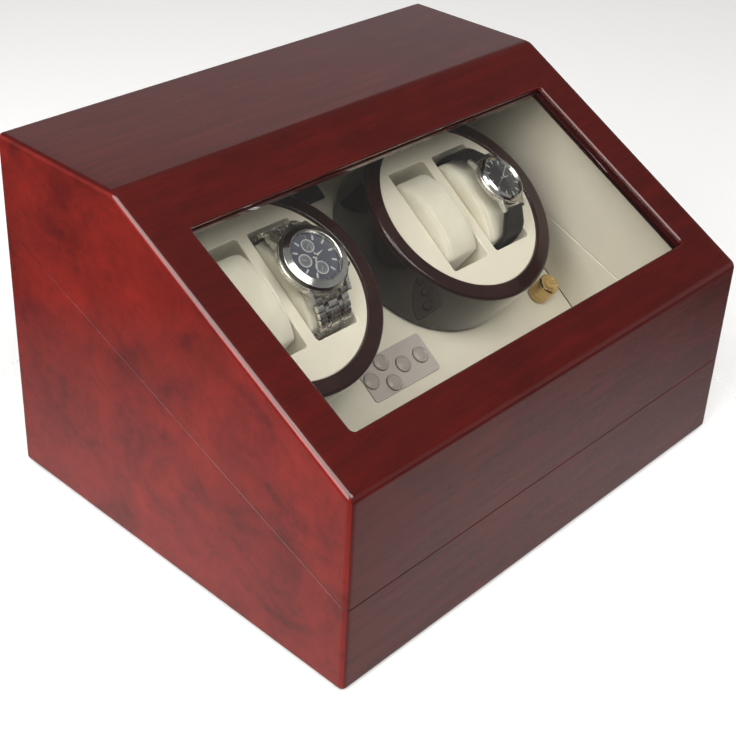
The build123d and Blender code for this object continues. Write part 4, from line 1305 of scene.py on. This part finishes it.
def build_strap(pillow, place, up, lug_v, lug_n, roll, width, body):
    """Padded leather strap around the pillow, stitched along both edges."""
    section = strap_section(width, STRAP_THICKNESS)
    whole = []
    for end in (-1, 1):
        bm = bmesh.new()
        rings = []
        gone = 0.0
        stitches = []
        half = band_path(pillow, lug_v + end * up, lug_n, STRAP_GAP)
        frames = ribbon_frames(resampled(half, STRAP_STEP))
        for i, (point, along, outward) in enumerate(frames):
            ease = max(0.0, 1 - gone / STRAP_SETTLE)
            share = ease * ease * (3 - 2 * ease)
            tilt = Matrix.Rotation(roll * share, 3, "Y")
            centre = Vector((DRESS_ACROSS * share, point.x, point.y))
            outer = Vector((0, outward.x, outward.y))
            ring_points = [centre + tilt @ (Vector((1, 0, 0)) * x + outer * h) for x, h in section]
            rings.append([bm.verts.new(spot) for spot in ring_points])
            if i % 3 == 1:
                for side in (-1, 1):
                    seam = Vector((side * (width / 2 - STITCH_INSET), 0, 0))
                    stitches.append((centre + tilt @ (seam + outer * STRAP_THICKNESS * 0.47), along))
            gone += STRAP_STEP
        for low, high in zip(rings, rings[1:]):
            bridge(bm, low, high)
        bm.faces.new(rings[0])
        bm.faces.new(rings[-1])
        mirror = Matrix.Diagonal((1, end, 1, 1))
        whole.append((paint(bm, 0), mirror))
        for point, along in stitches:
            stitch = soften(block(-STITCH_SIZE / 2, STITCH_SIZE / 2), 0.12 * MM, 1)
            normal = Vector((0, -along.y, along.x))
            turn = axes((1, 0, 0), (0, along.x, along.y), normal, point)
            whole.append((paint(stitch, 1), mirror @ turn))
    piece("dress_watch_band", join(whole), [BLACK_LEATHER, THREAD], body, "dress_watch_strap", place, 50)


CHRONOGRAPH_UP = 3.0 * MM
DRESS_ROLL = radians(10.0)
DRESS_LIFT = 4.4 * MM
DRESS_ACROSS = 1.0 * MM
DRESS_UP = -0.5 * MM
STRAP_WIDTH = 20 * MM


def build_watches():
    """The chronograph on the left turntable and the dress watch on the right one."""
    low, high = span("chronograph_bracelet")
    pocket = DECK @ shift((low.x + high.x) / 2, 0, 0)
    back = span("chronograph_case")[0].z
    body = "pillow_left_worn_body"
    build_watch("chronograph", pocket @ shift(0, CHRONOGRAPH_UP, back), body, CHRONOGRAPH)
    lug_v = CHRONOGRAPH["reach"] - 2 * MM
    build_bracelet("pillow_left_worn", pocket, CHRONOGRAPH_UP, lug_v, back + 1.6 * MM, body)

    low, high = span("dress_watch_strap")
    pocket = DECK @ shift((low.x + high.x) / 2, 0, 0)
    back = span("pillow_right_worn")[1].z + DRESS_LIFT
    body = "pillow_right_worn_body"
    place = pocket @ shift(DRESS_ACROSS, DRESS_UP, back) @ Matrix.Rotation(DRESS_ROLL, 4, "Y")
    build_watch("dress_watch", place, body, DRESS_WATCH)
    lug_v = DRESS_WATCH["reach"] - 2 * MM
    build_strap("pillow_right_worn", pocket, DRESS_UP, lug_v, back + 1.4 * MM, DRESS_ROLL, STRAP_WIDTH, body)


# ---------------------------------------------------------------- floor, light and camera
NEAR_FLOOR_RADIUS = 3.0
FLOOR_RADIUS = 4.0
FLOOR_GLOW = 0.22
FADE_START = 0.18
FADE_END = 0.42
NEAR_FLOOR_SHARE = 0.4


def disc(name, radius, height, finish):
    """A round flat sheet of the floor."""
    bm = bmesh.new()
    bmesh.ops.create_circle(bm, cap_ends=True, segments=96, radius=radius)
    bm.transform(shift(0, 0, height))
    mesh = mesh_of(bm, name)
    mesh.materials.append(finish)
    made = linked(name, mesh)
    return made


def floor_material(name, fading):
    """White paper; the near sheet fades out towards its edge, so reflections of it end softly."""
    plain = {
        "Roughness": 0.6,
        "Specular IOR Level": 0.2,
        "Emission Color": (1, 1, 1, 1),
        "Emission Strength": FLOOR_GLOW,
    }
    made, tree, shader = material(name, plain)
    texture = noise(tree, stretched(tree, (0.4, 0.4, 0.4)), 1.0, 3.0)
    link(tree, ramp(tree, texture, [(0.3, 0.86), (0.7, 0.89)]), shader, "Base Color")
    if fading:
        source = add(tree, "TexCoord").outputs["Object"]
        away = add(tree, "VectorMath", {0: source}, operation="LENGTH").outputs["Value"]
        values = {"Value": away, "From Min": FADE_START, "From Max": FADE_END}
        values.update({"To Min": NEAR_FLOOR_SHARE, "To Max": 0.0})
        link(tree, add(tree, "MapRange", values).outputs[0], shader, "Alpha")
    return made


def build_floor():
    """A large pale floor, and a near sheet that alone shows in reflections."""
    far = disc("floor", FLOOR_RADIUS, 0.0, floor_material("floor_paper", False))
    far.visible_glossy = False
    disc("floor_near", NEAR_FLOOR_RADIUS, 0.0001, floor_material("near_paper", True))


def build_world():
    """A studio: bright low down all round, dark overhead."""
    world = bpy.data.worlds.new("studio")
    bpy.context.scene.world = world
    world.use_nodes = True
    tree = world.node_tree
    source = add(tree, "TexCoord").outputs["Generated"]
    height = add(tree, "SeparateXYZ", {0: source}).outputs["Z"]
    level = ramp(tree, height, [(0.0, 0.1), (0.02, 0.42), (0.4, 0.38), (0.58, 0.12), (1.0, 0.25)])
    background = tree.nodes["Background"]
    tree.links.new(level, background.inputs["Color"])
    background.inputs["Strength"].default_value = 1.0


def soft_box(name, place, target, size, power, colour=(1, 1, 1)):
    """A rectangular studio light aimed at a point."""
    lamp = bpy.data.lights.new(name, "AREA")
    lamp.shape = "RECTANGLE"
    lamp.size, lamp.size_y = size
    lamp.energy = power
    lamp.color = colour
    made = linked(name, lamp)
    made.location = place
    made.rotation_euler = (Vector(target) - Vector(place)).to_track_quat("-Z", "Y").to_euler()
    return made


def build_lights():
    """A tall key light on the left, a fill from the front, and a bank that only glosses show."""
    middle = (0, 0, 0.12)
    soft_box("key_light", (-0.95, -0.1, 0.95), middle, (0.8, 1.1), 17, (1.0, 0.98, 0.95))
    soft_box("fill_light", (-0.35, -1.1, 1.6), middle, (1.3, 1.0), 28, (1.0, 0.98, 0.95))
    bank = soft_box("gloss_bank", (-0.95, -0.1, 0.95), middle, (0.8, 1.3), 36)
    bank.visible_diffuse = False


CAMERA_PLACE = Vector((-0.5524, -0.4835, 0.5328))
CAMERA_AZIMUTH = radians(-48.11)
CAMERA_ELEVATION = radians(30.28)
CAMERA_ROLL = radians(3.0)
CAMERA_LENS = 69.56
CAMERA_SHIFT_Y = -0.0924


def build_camera():
    """The camera at the viewing angle, looking down from the front left."""
    a, e = CAMERA_AZIMUTH, CAMERA_ELEVATION
    back = Vector((sin(a) * cos(e), -cos(a) * cos(e), sin(e)))
    right = Vector((cos(a), sin(a), 0))
    up = back.cross(right)
    rolled_right = right * cos(CAMERA_ROLL) + up * sin(CAMERA_ROLL)
    rolled_up = up * cos(CAMERA_ROLL) - right * sin(CAMERA_ROLL)
    camera = bpy.data.cameras.new("camera")
    camera.lens = CAMERA_LENS
    camera.shift_y = CAMERA_SHIFT_Y
    camera.clip_start = 0.01
    made = linked("camera", camera)
    made.matrix_world = axes(rolled_right, rolled_up, back, CAMERA_PLACE)
    bpy.context.scene.camera = made


finish_cad_nodes()
build_boards()
build_linings()
build_fittings()
build_display()
build_keys()
build_thumbscrews()
for side, name in SIDES:
    build_turntable(side, name)
    build_pillow(f"pillow_{name}_empty", f"pillow_{name}_empty_body", 1.1 * MM)
    build_pillow(f"pillow_{name}_worn", f"pillow_{name}_worn_body", 0.6 * MM)
build_watches()
build_floor()
build_world()
build_lights()
build_camera()
bpy.context.scene.view_settings.view_transform = "Standard"
